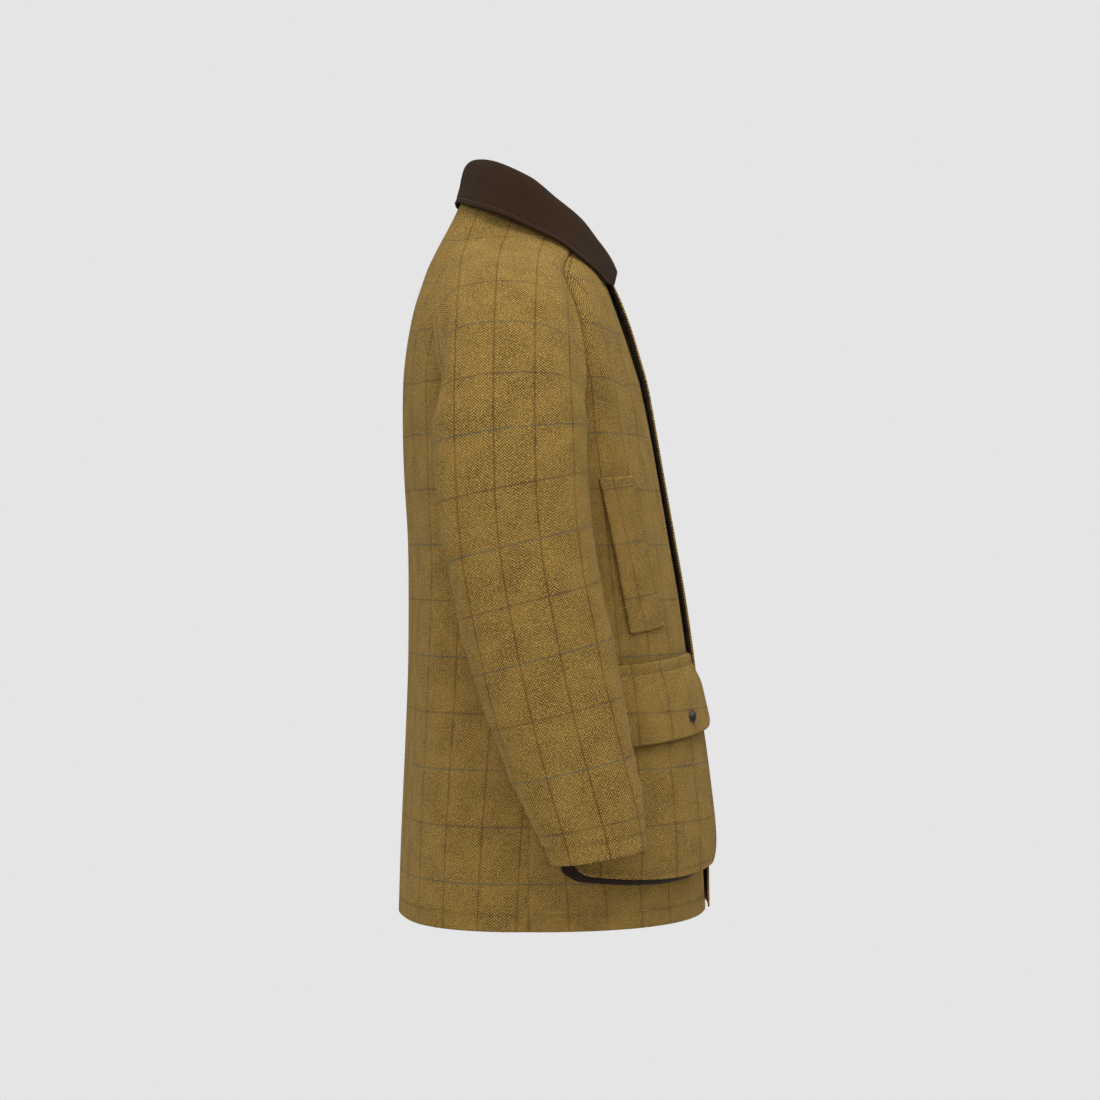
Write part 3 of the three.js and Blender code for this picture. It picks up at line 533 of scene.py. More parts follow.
def oval_arc(side, centre, tilt, lean, thick, deep, span):
    """A sleeve ring from its front end round the outside to its rear end."""
    turn = span * (1 - 2 * crowded(SLEEVE_COLUMNS + 1))
    swell = fold_height(SLEEVE_FOLDS, "turn", turn, centre[2], deep)
    tilt = math.radians(tilt)
    lean = math.radians(lean)
    outward = np.array([side * math.cos(tilt), 0, math.sin(tilt)])
    forward = np.array([0, -math.cos(lean), math.sin(lean)])
    out = np.cos(np.radians(turn))
    ahead = np.sin(np.radians(turn))
    power = 2 / SLEEVE_SQUARE
    out = np.sign(out) * np.abs(out) ** power * (thick + swell)
    ahead = np.sign(ahead) * np.abs(ahead) ** power * (deep + swell)
    return centre + out[:, None] * outward + ahead[:, None] * forward


def shoulder_ring(side, rise):
    read = {column: float(along(SHOULDER, "rise", rise, column)) for column in SHOULDER}
    tilt = math.radians(read["tilt"])
    out = read["out"] - read["thick"] * math.cos(tilt)
    centre = np.array([side * out, read["middle"], read["z"] - read["thick"] * math.sin(tilt)])
    arc = oval_arc(side, centre, read["tilt"], 0, read["thick"], read["deep"], read["span"])
    share = crowded(SLEEVE_COLUMNS + 1)[:, None]
    front = raglan_point(side, rise, "front") - arc[0]
    back = raglan_point(side, rise, "back") - arc[-1]
    return arc + (1 - share) ** SEAM_PULL * front + share**SEAM_PULL * back


def arm_ring(side, z):
    read = {column: float(along(ARM, "z", z, column)) for column in ARM}
    centre = np.array([side * (read["out"] + read["inner"]) / 2, read["middle"], z])
    thick = (read["out"] - read["inner"]) / 2
    return oval_arc(side, centre, 0, read["lean"], thick, read["deep"], BACK_ANGLE)


def sleeve_grid(side):
    """Rings from the neckline over the shoulder to the cuff."""
    shoulder = [shoulder_ring(side, rise) for rise in SEAM_RISES[::-1]]
    first = arm_ring(side, ARM_TOP_Z)
    joined = [mix(shoulder[-1], first, k / UNDERARM_RINGS) for k in range(1, UNDERARM_RINGS)]
    low = CUFF_Z + HEM_ROWS_REACH
    heights = [*np.linspace(ARM_TOP_Z, low, ARM_RINGS)[:-1], *np.linspace(low, CUFF_Z, CUFF_RINGS)]
    return np.array(shoulder + joined + [arm_ring(side, z) for z in heights])


# Grain of the sleeve against its middle line: offset at a height, and its drift down the arm
SLEEVE_GRAIN = {"offset": -11, "z": -163, "drift": 0.038}
# How much more than its rings the level lines of the sleeve rise toward the front
SLEEVE_WEFT = table("z lean", (-704, 0), (-600, 2), (-460, 5), (-340, 8), (-240, 5), (-160, 0), (0, 0))


def sleeve_cloth(grid):
    """Place on the cut sleeve: round from its outer line, front positive, and down its outer line."""
    middle = SLEEVE_COLUMNS // 2
    across = run_lengths(grid, axis=1)
    across = across[:, middle : middle + 1] - across
    run = run_lengths(grid[:, middle : middle + 1], axis=0)
    first_arm = len(SEAM_RISES) + UNDERARM_RINGS - 1
    down = run[first_arm] - run + ARM_TOP_Z
    height = grid[:, middle : middle + 1, 2]
    grain = SLEEVE_GRAIN["offset"] + SLEEVE_GRAIN["drift"] * (height - SLEEVE_GRAIN["z"])
    lean = np.tan(np.radians(along(SLEEVE_WEFT, "z", height, "lean")))
    return np.stack([across - grain, down - lean * across], axis=2)


def match_seam(first, second):
    """Give two edges the same normals."""
    shared = unit(first + second)
    first[:] = shared
    second[:] = shared


@cache
def cloth_panels():
    """Grids and normals of the back, fronts and sleeves, with shared normals along their seams."""
    low = len(BODY_HEIGHTS)
    closed = len(SEAM_RISES) - 1
    back = back_grid()
    back_normals = grid_normals(back, 1)
    panels = {"back": (back, back_normals)}
    for name, side in SIDES.items():
        front = front_grid(side)
        sleeve = sleeve_grid(side)
        front_normals = grid_normals(front, -side)
        sleeve_normals = grid_normals(sleeve, side, closed)
        edge = 0 if side < 0 else -1
        match_seam(front_normals[:low, -1], back_normals[:low, edge])
        match_seam(front_normals[low + 1 :, -1], sleeve_normals[:closed, 0][::-1])
        match_seam(back_normals[low + 1 :, edge], sleeve_normals[:closed, -1][::-1])
        front_normals[low, -1] = (0, 0, -1)
        back_normals[low, edge] = (0, 0, -1)
        sleeve_normals[closed, [0, -1]] = (0, 0, -1)
        sleeve[closed, [0, -1], 0] += side * 2 * SEAM_GAP
        panels["front_" + name] = (front, front_normals)
        panels["sleeve_" + name] = (sleeve, sleeve_normals)
    return panels


# Collar: a stand that rises inside the neckline, a fold, and a fall that lies over the shoulders
COLLAR_CLOTH = 2.6
COLLAR_TIP_SWING = 31
COLLAR_FIRST_COLUMN = 10
COLLAR_POINTS = 64
# The stand: its foot in the neckline, a place midway and its top, each against the neckline and the fold
COLLAR_STAND = {"foot": 0.4 * SEAM_GAP, "in": 4.5, "top_up": 0.86}
COLLAR_MIDWAY = {"out": 0.45, "in": 1, "up": 0.4}
COLLAR_FOLD_OUT = 4
COLLAR_STITCH = {"row": COLLAR_POINTS - 4, "first_point": 26, "from_end": 3, "depth": 0.6, "width": 1.8}
COLLAR_FOLD = table(
    "angle radius z",
    (0, 90, -66),
    (32, 86, -38),
    (48, 84, -17),
    (68, 82, 3),
    (90, 79, 27),
    (127, 71, 48),
    (180, 66, 55),
)
COLLAR_EDGE = table(
    "angle radius z",
    (30, 109, -91),
    (40, 114, -90),
    (50, 119, -80),
    (62, 123, -66),
    (75, 123.5, -48.5),
    (90, 114, -33),
    (108, 110, -17),
    (130, 102, -5),
    (155, 90, 4),
    (180, 85, 6),
)
# Share of the way down the fall, and how far the fall stands out there
COLLAR_FALL = ((0.12, 1.5), (0.36, 2), (0.6, 0.5), (0.82, 0), (1, 0))


def polar(angle, radius, z):
    turn = np.radians(angle)
    return np.stack([-radius * np.sin(turn), -radius * np.cos(turn), z], axis=-1)


def resample(lines, count):
    """Smooth each line of points and spread count points evenly along it."""
    smoothed = []
    for line in lines:
        run = distances(line)
        rows = {"run": run, "x": line[:, 0], "y": line[:, 1], "z": line[:, 2]}
        places = np.linspace(0, run[-1], count)
        smoothed.append(np.stack([along(rows, "run", places, axis) for axis in "xyz"], axis=-1))
    return np.array(smoothed)


def collar_grid():
    """One line for each point of the neckline, from the neckline up to the fold and down to the edge."""
    panels = cloth_panels()
    right_front = panels["front_right"][0][-1, COLLAR_FIRST_COLUMN:]
    left_front = panels["front_left"][0][-1, COLLAR_FIRST_COLUMN:][::-1]
    right_sleeve = panels["sleeve_right"][0][0, 1:-1]
    left_sleeve = panels["sleeve_left"][0][0, 1:-1][::-1]
    neck = np.concatenate([right_front, right_sleeve, panels["back"][0][-1], left_sleeve, left_front])
    angle = np.degrees(np.arctan2(-neck[:, 0], -neck[:, 1]))
    turn = np.abs(angle)
    way = np.where(angle < 0, -1, 1)
    edge_turn = turn + COLLAR_TIP_SWING * (1 - turn / BACK_ANGLE) ** 3
    fold_radius = along(COLLAR_FOLD, "angle", turn, "radius")
    fold_z = along(COLLAR_FOLD, "angle", turn, "z")
    edge_radius = along(COLLAR_EDGE, "angle", edge_turn, "radius")
    edge_z = along(COLLAR_EDGE, "angle", edge_turn, "z")
    neck_radius = np.hypot(neck[:, 0], neck[:, 1])
    stand = COLLAR_STAND
    top_radius = fold_radius - stand["in"]
    mid_radius = mix(neck_radius, top_radius, COLLAR_MIDWAY["out"]) - COLLAR_MIDWAY["in"]
    lines = [
        neck + [0, 0, stand["foot"]],
        polar(angle, mid_radius, mix(neck[:, 2], fold_z, COLLAR_MIDWAY["up"])),
        polar(angle, top_radius, mix(neck[:, 2], fold_z, stand["top_up"])),
        polar(angle, fold_radius, fold_z),
    ]
    for share, bulge in COLLAR_FALL:
        radius = mix(fold_radius + COLLAR_FOLD_OUT, edge_radius, share) + bulge
        lines.append(polar(way * mix(turn, edge_turn, share), radius, mix(fold_z, edge_z, share)))
    return resample(np.stack(lines, axis=1), COLLAR_POINTS)


# What lies on the fronts. A place on a piece is its share across (0 at the front) and up (0 at the bottom).
def patch_grid(side, across, up, place, proud):
    across, up = np.meshgrid(across, up)
    angle, z = place(across, up)
    return body_point(side, angle, z, proud(across, up, z))


WELT = {"top_front": 53.2, "top_rear": 67.7, "bottom_front": 40.7, "bottom_rear": 57}
WELT_HEIGHT = {"top_front": -308, "top_rear": -311, "bottom_front": -471, "bottom_rear": -478}
WELT_CLOTH = 2.4
WELT_OPENS = 2.6
WELT_STITCH = {"bottom": 0.04, "top": 0.96, "edge": 0.06, "rear": 0.94}


def four_corners(values, across, up):
    front = mix(values["bottom_front"], values["top_front"], up)
    rear = mix(values["bottom_rear"], values["top_rear"], up)
    return mix(front, rear, across)


def welt_place(across, up):
    return four_corners(WELT, across, up), four_corners(WELT_HEIGHT, across, up)


def welt_proud(across, up, z):
    gape = smooth(0.3, 1, across) * np.sqrt(np.clip(np.sin(np.pi * up), 0, 1))
    return WELT_CLOTH + 2 * SEAM_GAP + WELT_OPENS * gape


POCKET = {"front": 19, "rear": 78.5, "top_z": -534, "front_bottom_z": -732, "rear_bottom_z": -730, "sag": 9}
POCKET_CORNER = 24
POCKET_WIDTH = 215
POCKET_CLOTH = 2.3
POCKET_STITCH = {"bottom": 0.03, "side": 0.025, "from": 0.05, "to": 0.7, "corner_points": 8}
POCKET_PROUD = table("z proud", (-740, 18.5), (-700, 20.5), (-640, 17.5), (-587, 14), (-534, 10))
REAR_FLATTENING = 0.52


def flatten(across):
    return 1 - REAR_FLATTENING * smooth(0.42, 1, across)


def rounded_corner(across):
    inside = np.clip(1 - np.minimum(across, 1 - across) * POCKET_WIDTH / POCKET_CORNER, 0, 1)
    return POCKET_CORNER * (1 - np.sqrt(1 - inside * inside))


def pocket_place(across, up):
    bottom = mix(POCKET["front_bottom_z"], POCKET["rear_bottom_z"], across)
    bottom = bottom - POCKET["sag"] * np.sin(np.pi * across) + rounded_corner(across)
    return mix(POCKET["front"], POCKET["rear"], across), mix(bottom, POCKET["top_z"], up)


def pocket_proud(across, up, z):
    return along(POCKET_PROUD, "z", z, "proud") * flatten(across)


# The gusset is a band along the pocket's sides and bottom, folded inward along its middle and spread past the
# pocket's edge where it meets the front
GUSSET = {"inset": 0.022, "lift": 0.022, "tuck": 0.006, "flare": 0.052, "top": 0.86}
GUSSET_CLOTH = {"thick": 1.6, "clear": 1, "top_clear": 1.6}
GUSSET_LEVELS = 9
GUSSET_POINTS = 120


def gusset_path(extra):
    """Places round the pocket's edge, as shares across and up."""
    inset = GUSSET["inset"] + extra
    lift = GUSSET["lift"] + extra
    drop = np.linspace(GUSSET["top"], lift, GUSSET_POINTS // 3, endpoint=False)
    bottom = mix(inset, 1 - inset, eased(GUSSET_POINTS))
    across = np.concatenate([np.full(drop.size, inset), bottom, np.full(drop.size, 1 - inset)])
    up = np.concatenate([drop, np.full(bottom.size, lift), drop[::-1]])
    return across, up


def gusset_grid(side):
    rows = []
    for level in np.linspace(0, 1, GUSSET_LEVELS):
        tuck = GUSSET["tuck"] * math.sin(math.pi * level)
        across, up = gusset_path(tuck - GUSSET["flare"] * (1 - level) ** 1.5)
        angle, _ = pocket_place(across, up)
        _, z = pocket_place(gusset_path(tuck)[0], up)
        full = pocket_proud(across, up, z) - POCKET_CLOTH - GUSSET_CLOTH["top_clear"]
        rows.append(body_point(side, angle, z, mix(GUSSET_CLOTH["clear"], full, level)))
    return np.array(rows)


FLAP = {"top_front": -502, "top_rear": -517, "bottom_front": -584, "bottom_rear": -604}
FLAP_ENDS = {"front": 17, "rear": 79.5}
FLAP_CLOTH = 2.8
FLAP_PROUD = table(
    "z proud", (-606, 22.5), (-583, 21.5), (-560, 18.5), (-535, 14.6), (-518, 8.5), (-500, 5)
)
FLAP_SEWN_PROUD = 4
FLAP_STITCH = 0.88


def flap_place(across, up):
    corner = rounded_corner(across) * mix(0.4, -0.15, up)
    return mix(FLAP_ENDS["front"], FLAP_ENDS["rear"], across), four_corners(FLAP, across, up) + corner


def flap_proud(across, up, z):
    return FLAP_SEWN_PROUD + (along(FLAP_PROUD, "z", z, "proud") - FLAP_SEWN_PROUD) * flatten(across)


# Fly flap: sewn to the left front, lapping over the right, with a facing under its free half. x is how far a
# place lies to the coat's left of centre.
FLY = {"cloth": 2.2, "facing_cloth": 1.8, "facing_clear": 1.6 * SEAM_GAP, "sewn_from": 20, "sewn_to": 36}
FLY_POINTS = (40, 170)
FACING_POINTS = (30, 160)
FLY_STITCH_COLUMN = 36
FLY_REACH = (-35, 38)
FACING_REACH = (-33.5, 20)
FLY_ENDS = (-789, -81)
FACING_ENDS = (-740, -81)
FLY_PROUD = table("z proud", (-790, 5), (-700, 8.2), (-300, 8.2), (-180, 9.6), (-120, 10.4), (-80, 7))


def fly_angle(x, z):
    return -np.degrees(np.arctan2(x, along(BODY, "z", z, "front")))


def fly_grid(reach, ends, points, sink):
    x = np.linspace(*reach, points[0])[None, :]
    z = np.linspace(*ends, points[1])[:, None]
    sewn = FLY["cloth"] + 2 * SEAM_GAP
    proud = mix(along(FLY_PROUD, "z", z, "proud"), sewn, smooth(FLY["sewn_from"], FLY["sewn_to"], x))
    return body_point(-1, fly_angle(x, z), z, proud - sink)


# Place on the front's cloth of what is cut to match it
MATCH_Z = -620
MATCH_POINTS = 181
FRONT_GRAIN = 31
BACK_GRAIN = 27
WELT_GRAIN = 8


def front_cloth(side, grid):
    """The weave of a patch continues that of the front beneath it."""
    angles = np.linspace(0, SIDE_ANGLE, MATCH_POINTS)
    line = body_surface(angles, np.full(angles.size, MATCH_Z))
    arc = distances(line)
    angle = np.degrees(np.arctan2(-grid[..., 0] * -side, -grid[..., 1]))
    return np.stack([np.interp(np.abs(angle), angles, arc) - FRONT_GRAIN, grid[..., 2]], axis=-1)


def local_cloth(grid, start=0.0):
    """Weave that runs along the piece's own rows and columns."""
    return np.stack([run_lengths(grid, axis=1) + start, run_lengths(grid, axis=0)], axis=-1)


# Press studs: radius and height shares of the cap's section, from its foot to its middle
STUD_PROFILE = (
    (0, 0),
    (0.94, 0),
    (0.99, 0.05),
    (1, 0.12),
    (0.98, 0.2),
    (0.92, 0.26),
    (0.85, 0.28),
    (0.81, 0.25),
    (0.77, 0.24),
    (0.73, 0.26),
    (0.6, 0.33),
    (0.4, 0.37),
    (0.2, 0.385),
    (0, 0.39),
)
STUD_SIDES = 48
FLAP_STUDS = {"angles": {"front": 36, "rear": 66.5}, "z": -571, "radius": 6.8, "clear": 2.5 * SEAM_GAP}
FLY_STUDS = {"x": -22, "z": (-657, -505, -353, -201, -120), "radius": 5.6, "clear": 2 * SEAM_GAP}


def stud_object(name, foot, up, radius, finish):
    """A turned cap standing on its foot point."""
    profile = np.array(STUD_PROFILE) * radius
    turn = np.linspace(0, 2 * np.pi, STUD_SIDES, endpoint=False)
    ring = profile[1:-1]
    x = ring[:, :1] * np.cos(turn)
    y = ring[:, :1] * np.sin(turn)
    z = np.broadcast_to(ring[:, 1:], x.shape)
    points = np.stack([x, y, z], axis=-1).reshape(-1, 3)
    points = np.concatenate([points, [[0, 0, profile[0, 1]], [0, 0, profile[-1, 1]]]])
    index = np.arange(len(ring) * STUD_SIDES).reshape(len(ring), STUD_SIDES)
    after = np.roll(index, -1, axis=1)
    low, high = len(points) - 2, len(points) - 1
    sides = np.stack([index[:-1], after[:-1], after[1:], index[1:]], axis=-1).reshape(-1, 4)
    tris = [
        sides[:, [0, 1, 2]],
        sides[:, [0, 2, 3]],
        np.stack([after[0], index[0], np.full(STUD_SIDES, low)], axis=-1),
        np.stack([index[-1], after[-1], np.full(STUD_SIDES, high)], axis=-1),
    ]
    turned = np.array(Vector((0, 0, 1)).rotation_difference(Vector(up)).to_matrix())
    return mesh_object(name, points @ turned.T + foot, np.concatenate(tris), finish)


# Topstitching: each stitch is a spindle of thread that lies half sunk in the cloth
STITCH_SIDES = 6
STITCH_SECTION = ((0.12, 0.75), (0.5, 1), (0.88, 0.75))


def stitch_mesh(paths, length, gap, radius):
    """Points and faces of all stitches along the paths, each a pair of points and normals."""
    points = []
    faces = []
    count = 0
    turn = np.linspace(0, 2 * np.pi, STITCH_SIDES, endpoint=False)
    for path, normals in paths:
        run = distances(path)
        starts = np.arange(gap, run[-1] - length, length + gap)
        ends = []
        for places in (starts, starts + length):
            ends.append(np.stack([np.interp(places, run, path[:, k]) for k in range(3)], axis=-1))
        up = np.stack([np.interp(starts, run, normals[:, k]) for k in range(3)], axis=-1)
        for first, last, above in zip(*ends, unit(up)):
            way = last - first
            beside = unit(np.cross(above, way))
            spindle = [first[None], last[None]]
            for share, width in STITCH_SECTION:
                rings = np.cos(turn)[:, None] * beside + np.sin(turn)[:, None] * above
                spindle.append(first + way * share + rings * radius * width)
            points.append(np.concatenate(spindle))
            base = count
            for k in range(STITCH_SIDES):
                nxt = (k + 1) % STITCH_SIDES
                rings = [base + 2 + STITCH_SIDES * r for r in range(len(STITCH_SECTION))]
                faces.append((base, rings[0] + nxt, rings[0] + k))
                faces.append((base + 1, rings[-1] + k, rings[-1] + nxt))
                for low, high in zip(rings[:-1], rings[1:]):
                    faces.append((low + k, low + nxt, high + nxt))
                    faces.append((low + k, high + nxt, high + k))
            count += len(points[-1])
    return np.concatenate(points), np.array(faces)


def patch_path(side, across, up, place, proud):
    """A path over a patch, with its normals."""
    across, up = np.broadcast_arrays(np.asarray(across, float), np.asarray(up, float))
    angle, z = place(across, up)
    height = proud(across, up, z)
    path = body_point(side, angle, z, height + THREAD_LIFT)
    return path, unit(body_point(side, angle, z, height + 1) - body_point(side, angle, z, height))


def grid_path(grid, normals, *where):
    """A path along part of a grid's row or column, with its normals."""
    return grid[where] + THREAD_LIFT * normals[where], normals[where]


# Finishes. Cloth is woven in the shader from its place on the cut piece, in millimetres.
def add_node(tree, kind, settings=None, **inputs):
    made = tree.nodes.new(kind)
    for name, value in (settings or {}).items():
        setattr(made, name, value)
    for name, value in inputs.items():
        feed(tree, made.inputs[name.replace("_", " ")], value)
    return made


def feed(tree, socket, value):
    if isinstance(value, bpy.types.NodeSocket):
        tree.links.new(value, socket)
    else:
        socket.default_value = value


def calc(tree, operation, *values):
    made = tree.nodes.new("ShaderNodeMath")
    made.operation = operation
    for socket, value in zip(made.inputs, values):
        feed(tree, socket, value)
    return made.outputs[0]


def blend(tree, share, first, second, way="MIX"):
    made = tree.nodes.new("ShaderNodeMix")
    made.data_type = "RGBA"
    made.blend_type = way
    feed(tree, made.inputs[0], share)
    feed(tree, made.inputs[6], first)
    feed(tree, made.inputs[7], second)
    return made.outputs[2]


def step(tree, low, high, value):
    """Eased 0 to 1 as the value passes from low to high."""
    made = add_node(tree, "ShaderNodeMapRange", {"interpolation_type": "SMOOTHSTEP"})
    feed(tree, made.inputs["Value"], value)
    made.inputs["From Min"].default_value = low
    made.inputs["From Max"].default_value = high
    return made.outputs["Result"]


def noise(tree, vector, scale, detail=2.0):
    return add_node(tree, "ShaderNodeTexNoise", Vector=vector, Scale=scale, Detail=detail).outputs["Fac"]


def rgba(tint, share=1):
    """A colour, made darker or lighter by the share."""
    return (*[share * c for c in tint], 1)


def new_material(name, roughness, sheen, specular=0.12):
    material = bpy.data.materials.new("coat " + name)
    material.use_nodes = True
    tree = material.node_tree
    shader = tree.nodes["Principled BSDF"]
    shader.inputs["Roughness"].default_value = roughness
    shader.inputs["Specular IOR Level"].default_value = specular
    shader.inputs["Sheen Weight"].default_value = sheen
    shader.inputs["Sheen Roughness"].default_value = 0.5
    return material, tree, shader


def cloth_place(tree):
    """The place on the cut cloth as a vector and as two numbers, in millimetres."""
    uv = add_node(tree, "ShaderNodeUVMap", {"uv_map": "cloth"}).outputs[0]
    scaled = add_node(tree, "ShaderNodeVectorMath", {"operation": "SCALE"}, Vector=uv, Scale=1 / MM)
    parts = add_node(tree, "ShaderNodeSeparateXYZ", Vector=scaled.outputs[0])
    return scaled.outputs[0], parts.outputs[0], parts.outputs[1]


def raise_nap(tree, shader, height, depth):
    bump = add_node(tree, "ShaderNodeBump", Height=height, Strength=1.0, Distance=depth * MM)
    feed(tree, shader.inputs["Normal"], bump.outputs[0])


def shifted(tree, vector, distance):
    made = add_node(tree, "ShaderNodeVectorMath", {"operation": "ADD"}, Vector=vector)
    made.inputs[1].default_value = (distance, distance, 0)
    return made.outputs[0]


def line_mask(tree, cloth, place, spacing, offset, width):
    """1 on thin lines that repeat over a spacing, fading to 0 beside them."""
    away = calc(tree, "WRAP", calc(tree, "ADD", place, offset), spacing / 2, -spacing / 2)
    line = calc(tree, "SUBTRACT", 1.0, step(tree, width * 0.3, width, calc(tree, "ABSOLUTE", away)))
    broken = step(tree, 0.3, 0.6, noise(tree, cloth, 0.3, 3.0))
    return calc(tree, "MULTIPLY", line, calc(tree, "ADD", calc(tree, "MULTIPLY", broken, 0.45), 0.55))


# The tweed's flecks: colour, fineness, and the level of noise that they show from
FLECKS = (("rust_fleck", 0.9, 0.6), ("green_fleck", 0.75, 0.6), ("pale_fleck", 1.1, 0.63))
# Height of the first level line, and half width of the lines of the overcheck
WEFT_START = 22
LINE_WIDTH = 1.5


def tweed_finish():
    colours = bpy.context.scene.coat_colours
    weave = bpy.context.scene.coat_weave
    material, tree, shader = new_material("tweed", 0.96, 0.14)
    shader.inputs["Sheen Tint"].default_value = rgba(colours.tweed_bloom)
    place, x, y = cloth_place(tree)
    rib = weave.rib / MM
    twill = weave.twill / MM
    slub = noise(tree, place, 0.55, 3.0)
    lean = calc(tree, "MULTIPLY", calc(tree, "PINGPONG", x, rib), weave.slope)
    run = calc(tree, "DIVIDE", calc(tree, "ADD", y, lean), twill)
    turned = calc(tree, "MODULO", calc(tree, "FLOOR", calc(tree, "DIVIDE", x, rib)), 2)
    run = calc(tree, "ADD", run, calc(tree, "MULTIPLY", calc(tree, "ABSOLUTE", turned), 0.5))
    slub = calc(tree, "MULTIPLY", slub, 0.9)
    wave = calc(tree, "SINE", calc(tree, "MULTIPLY", calc(tree, "ADD", run, slub), 2 * math.pi))
    yarn = step(tree, -0.5, 0.5, wave)
    uneven = step(tree, 0.35, 0.65, noise(tree, shifted(tree, place, 77), 0.45, 2.0))
    yarn = calc(tree, "MULTIPLY", yarn, calc(tree, "ADD", calc(tree, "MULTIPLY", uneven, 0.55), 0.45))
    colour = blend(tree, yarn, rgba(colours.tweed_dark), rgba(colours.tweed_light))
    for k, (tint, scale, low) in enumerate(FLECKS, 1):
        spots = noise(tree, shifted(tree, place, 300 * k), scale, 1.0)
        share = calc(tree, "MULTIPLY", step(tree, low, low + 0.08, spots), 0.7)
        colour = blend(tree, share, colour, rgba(getattr(colours, tint)))
    thread = calc(tree, "ADD", calc(tree, "MULTIPLY", yarn, 0.35), 0.65)
    warp = line_mask(tree, place, x, weave.warp_spacing / MM, 0, LINE_WIDTH)
    shade = calc(tree, "MULTIPLY", warp, calc(tree, "MULTIPLY", thread, 0.95))
    colour = blend(tree, shade, colour, rgba(colours.warp_line))
    pair = 2 * weave.weft_spacing / MM
    for tint, offset in ((colours.blue_line, WEFT_START), (colours.purple_line, WEFT_START + pair / 2)):
        weft = line_mask(tree, place, y, pair, offset, LINE_WIDTH)
        shade = calc(tree, "MULTIPLY", weft, calc(tree, "MULTIPLY", thread, 0.74))
        colour = blend(tree, shade, colour, rgba(tint))
    mottle = step(tree, 0.3, 0.7, noise(tree, place, 0.03, 3.0))
    colour = blend(tree, calc(tree, "MULTIPLY", mottle, 0.16), colour, rgba(colours.tweed_light))
    feed(tree, shader.inputs["Base Color"], colour)
    hair = noise(tree, place, 2.4, 3.0)
    height = calc(tree, "ADD", calc(tree, "MULTIPLY", yarn, 0.55), calc(tree, "MULTIPLY", hair, 0.7))
    raise_nap(tree, shader, height, 0.35)
    return material


def needlecord_finish():
    tint = bpy.context.scene.coat_colours.collar
    turns = 2 * math.pi * MM / bpy.context.scene.coat_weave.cord
    material, tree, shader = new_material("needlecord", 0.9, 0.02, 0.06)
    place, x, _ = cloth_place(tree)
    ribs = calc(tree, "SINE", calc(tree, "MULTIPLY", x, turns))
    worn = noise(tree, place, 0.05, 4.0)
    pile = noise(tree, place, 1.6, 2.0)
    colour = blend(tree, step(tree, -0.9, 0.3, ribs), rgba(tint, 0.62), rgba(tint))
    colour = blend(tree, calc(tree, "MULTIPLY", worn, 0.25), colour, rgba(tint, 1.7))
    feed(tree, shader.inputs["Base Color"], colour)
    height = calc(tree, "ADD", calc(tree, "MULTIPLY", ribs, 0.4), calc(tree, "MULTIPLY", pile, 0.4))
    raise_nap(tree, shader, height, 0.25)
    return material


def facing_finish():
    material, tree, shader = new_material("facing", 0.92, 0.1)
    place, _, _ = cloth_place(tree)
    grain = noise(tree, place, 1.2, 3.0)
    tint = bpy.context.scene.coat_colours.facing
    feed(tree, shader.inputs["Base Color"], blend(tree, grain, rgba(tint, 0.7), rgba(tint)))
    raise_nap(tree, shader, grain, 0.15)
    return material


def thread_finish(name, tint):
    material, tree, shader = new_material(name, 0.85, 0.1)
    shader.inputs["Base Color"].default_value = rgba(tint)
    return material


def gunmetal_finish():
    material, tree, shader = new_material("gunmetal", 0.36, 0, 0.5)
    place = add_node(tree, "ShaderNodeTexCoord").outputs["Object"]
    wear = noise(tree, place, 900, 3.0)
    tint = bpy.context.scene.coat_colours.metal
    feed(tree, shader.inputs["Base Color"], blend(tree, wear, rgba(tint, 0.75), rgba(tint)))
    feed(tree, shader.inputs["Roughness"], calc(tree, "ADD", calc(tree, "MULTIPLY", wear, 0.25), 0.25))
    shader.inputs["Metallic"].default_value = 0.9
    return material


def finish(name):
    """The named finish, made when it is first asked for."""
    made = bpy.data.materials.get("coat " + name)
    if made is not None:
        return made
    colours = bpy.context.scene.coat_colours
    makers = {
        "tweed": tweed_finish,
        "needlecord": needlecord_finish,
        "facing": facing_finish,
        "gunmetal": gunmetal_finish,
        "tweed thread": lambda: thread_finish("tweed thread", colours.thread),
        "collar thread": lambda: thread_finish("collar thread", colours.collar_thread),
    }
    return makers[name]()


# Sizes and colours
def colour_property(name, description, default):
    return FloatVectorProperty(
        name=name, description=description, default=default, subtype="COLOR", size=3, min=0, max=1
    )


def length_property(name, description, default):
    return FloatProperty(
        name=name, description=description, default=default, subtype="DISTANCE", unit="LENGTH"
    )


class CoatWeave(bpy.types.PropertyGroup):
    rib: length_property("Herringbone rib", "Width of one rib of the herringbone", 0.005)
    twill: length_property("Twill pitch", "Distance from one twill line to the next", 0.0032)
    slope: FloatProperty(name="Twill slope", description="Rise of the twill lines over a rib", default=1.0)
    warp_spacing: length_property("Upright line spacing", "Distance between the rust lines", 0.0425)
    weft_spacing: length_property("Level line spacing", "Distance between the level lines", 0.06)
    cord: length_property("Cord pitch", "Width of one cord of the collar", 0.0013)
    stitch: length_property("Stitch length", "Length of a topstitch", 0.0031)
    stitch_gap: length_property("Stitch gap", "Distance between topstitches", 0.0009)
    thread: length_property("Thread radius", "Radius of the topstitching thread", 0.00032)


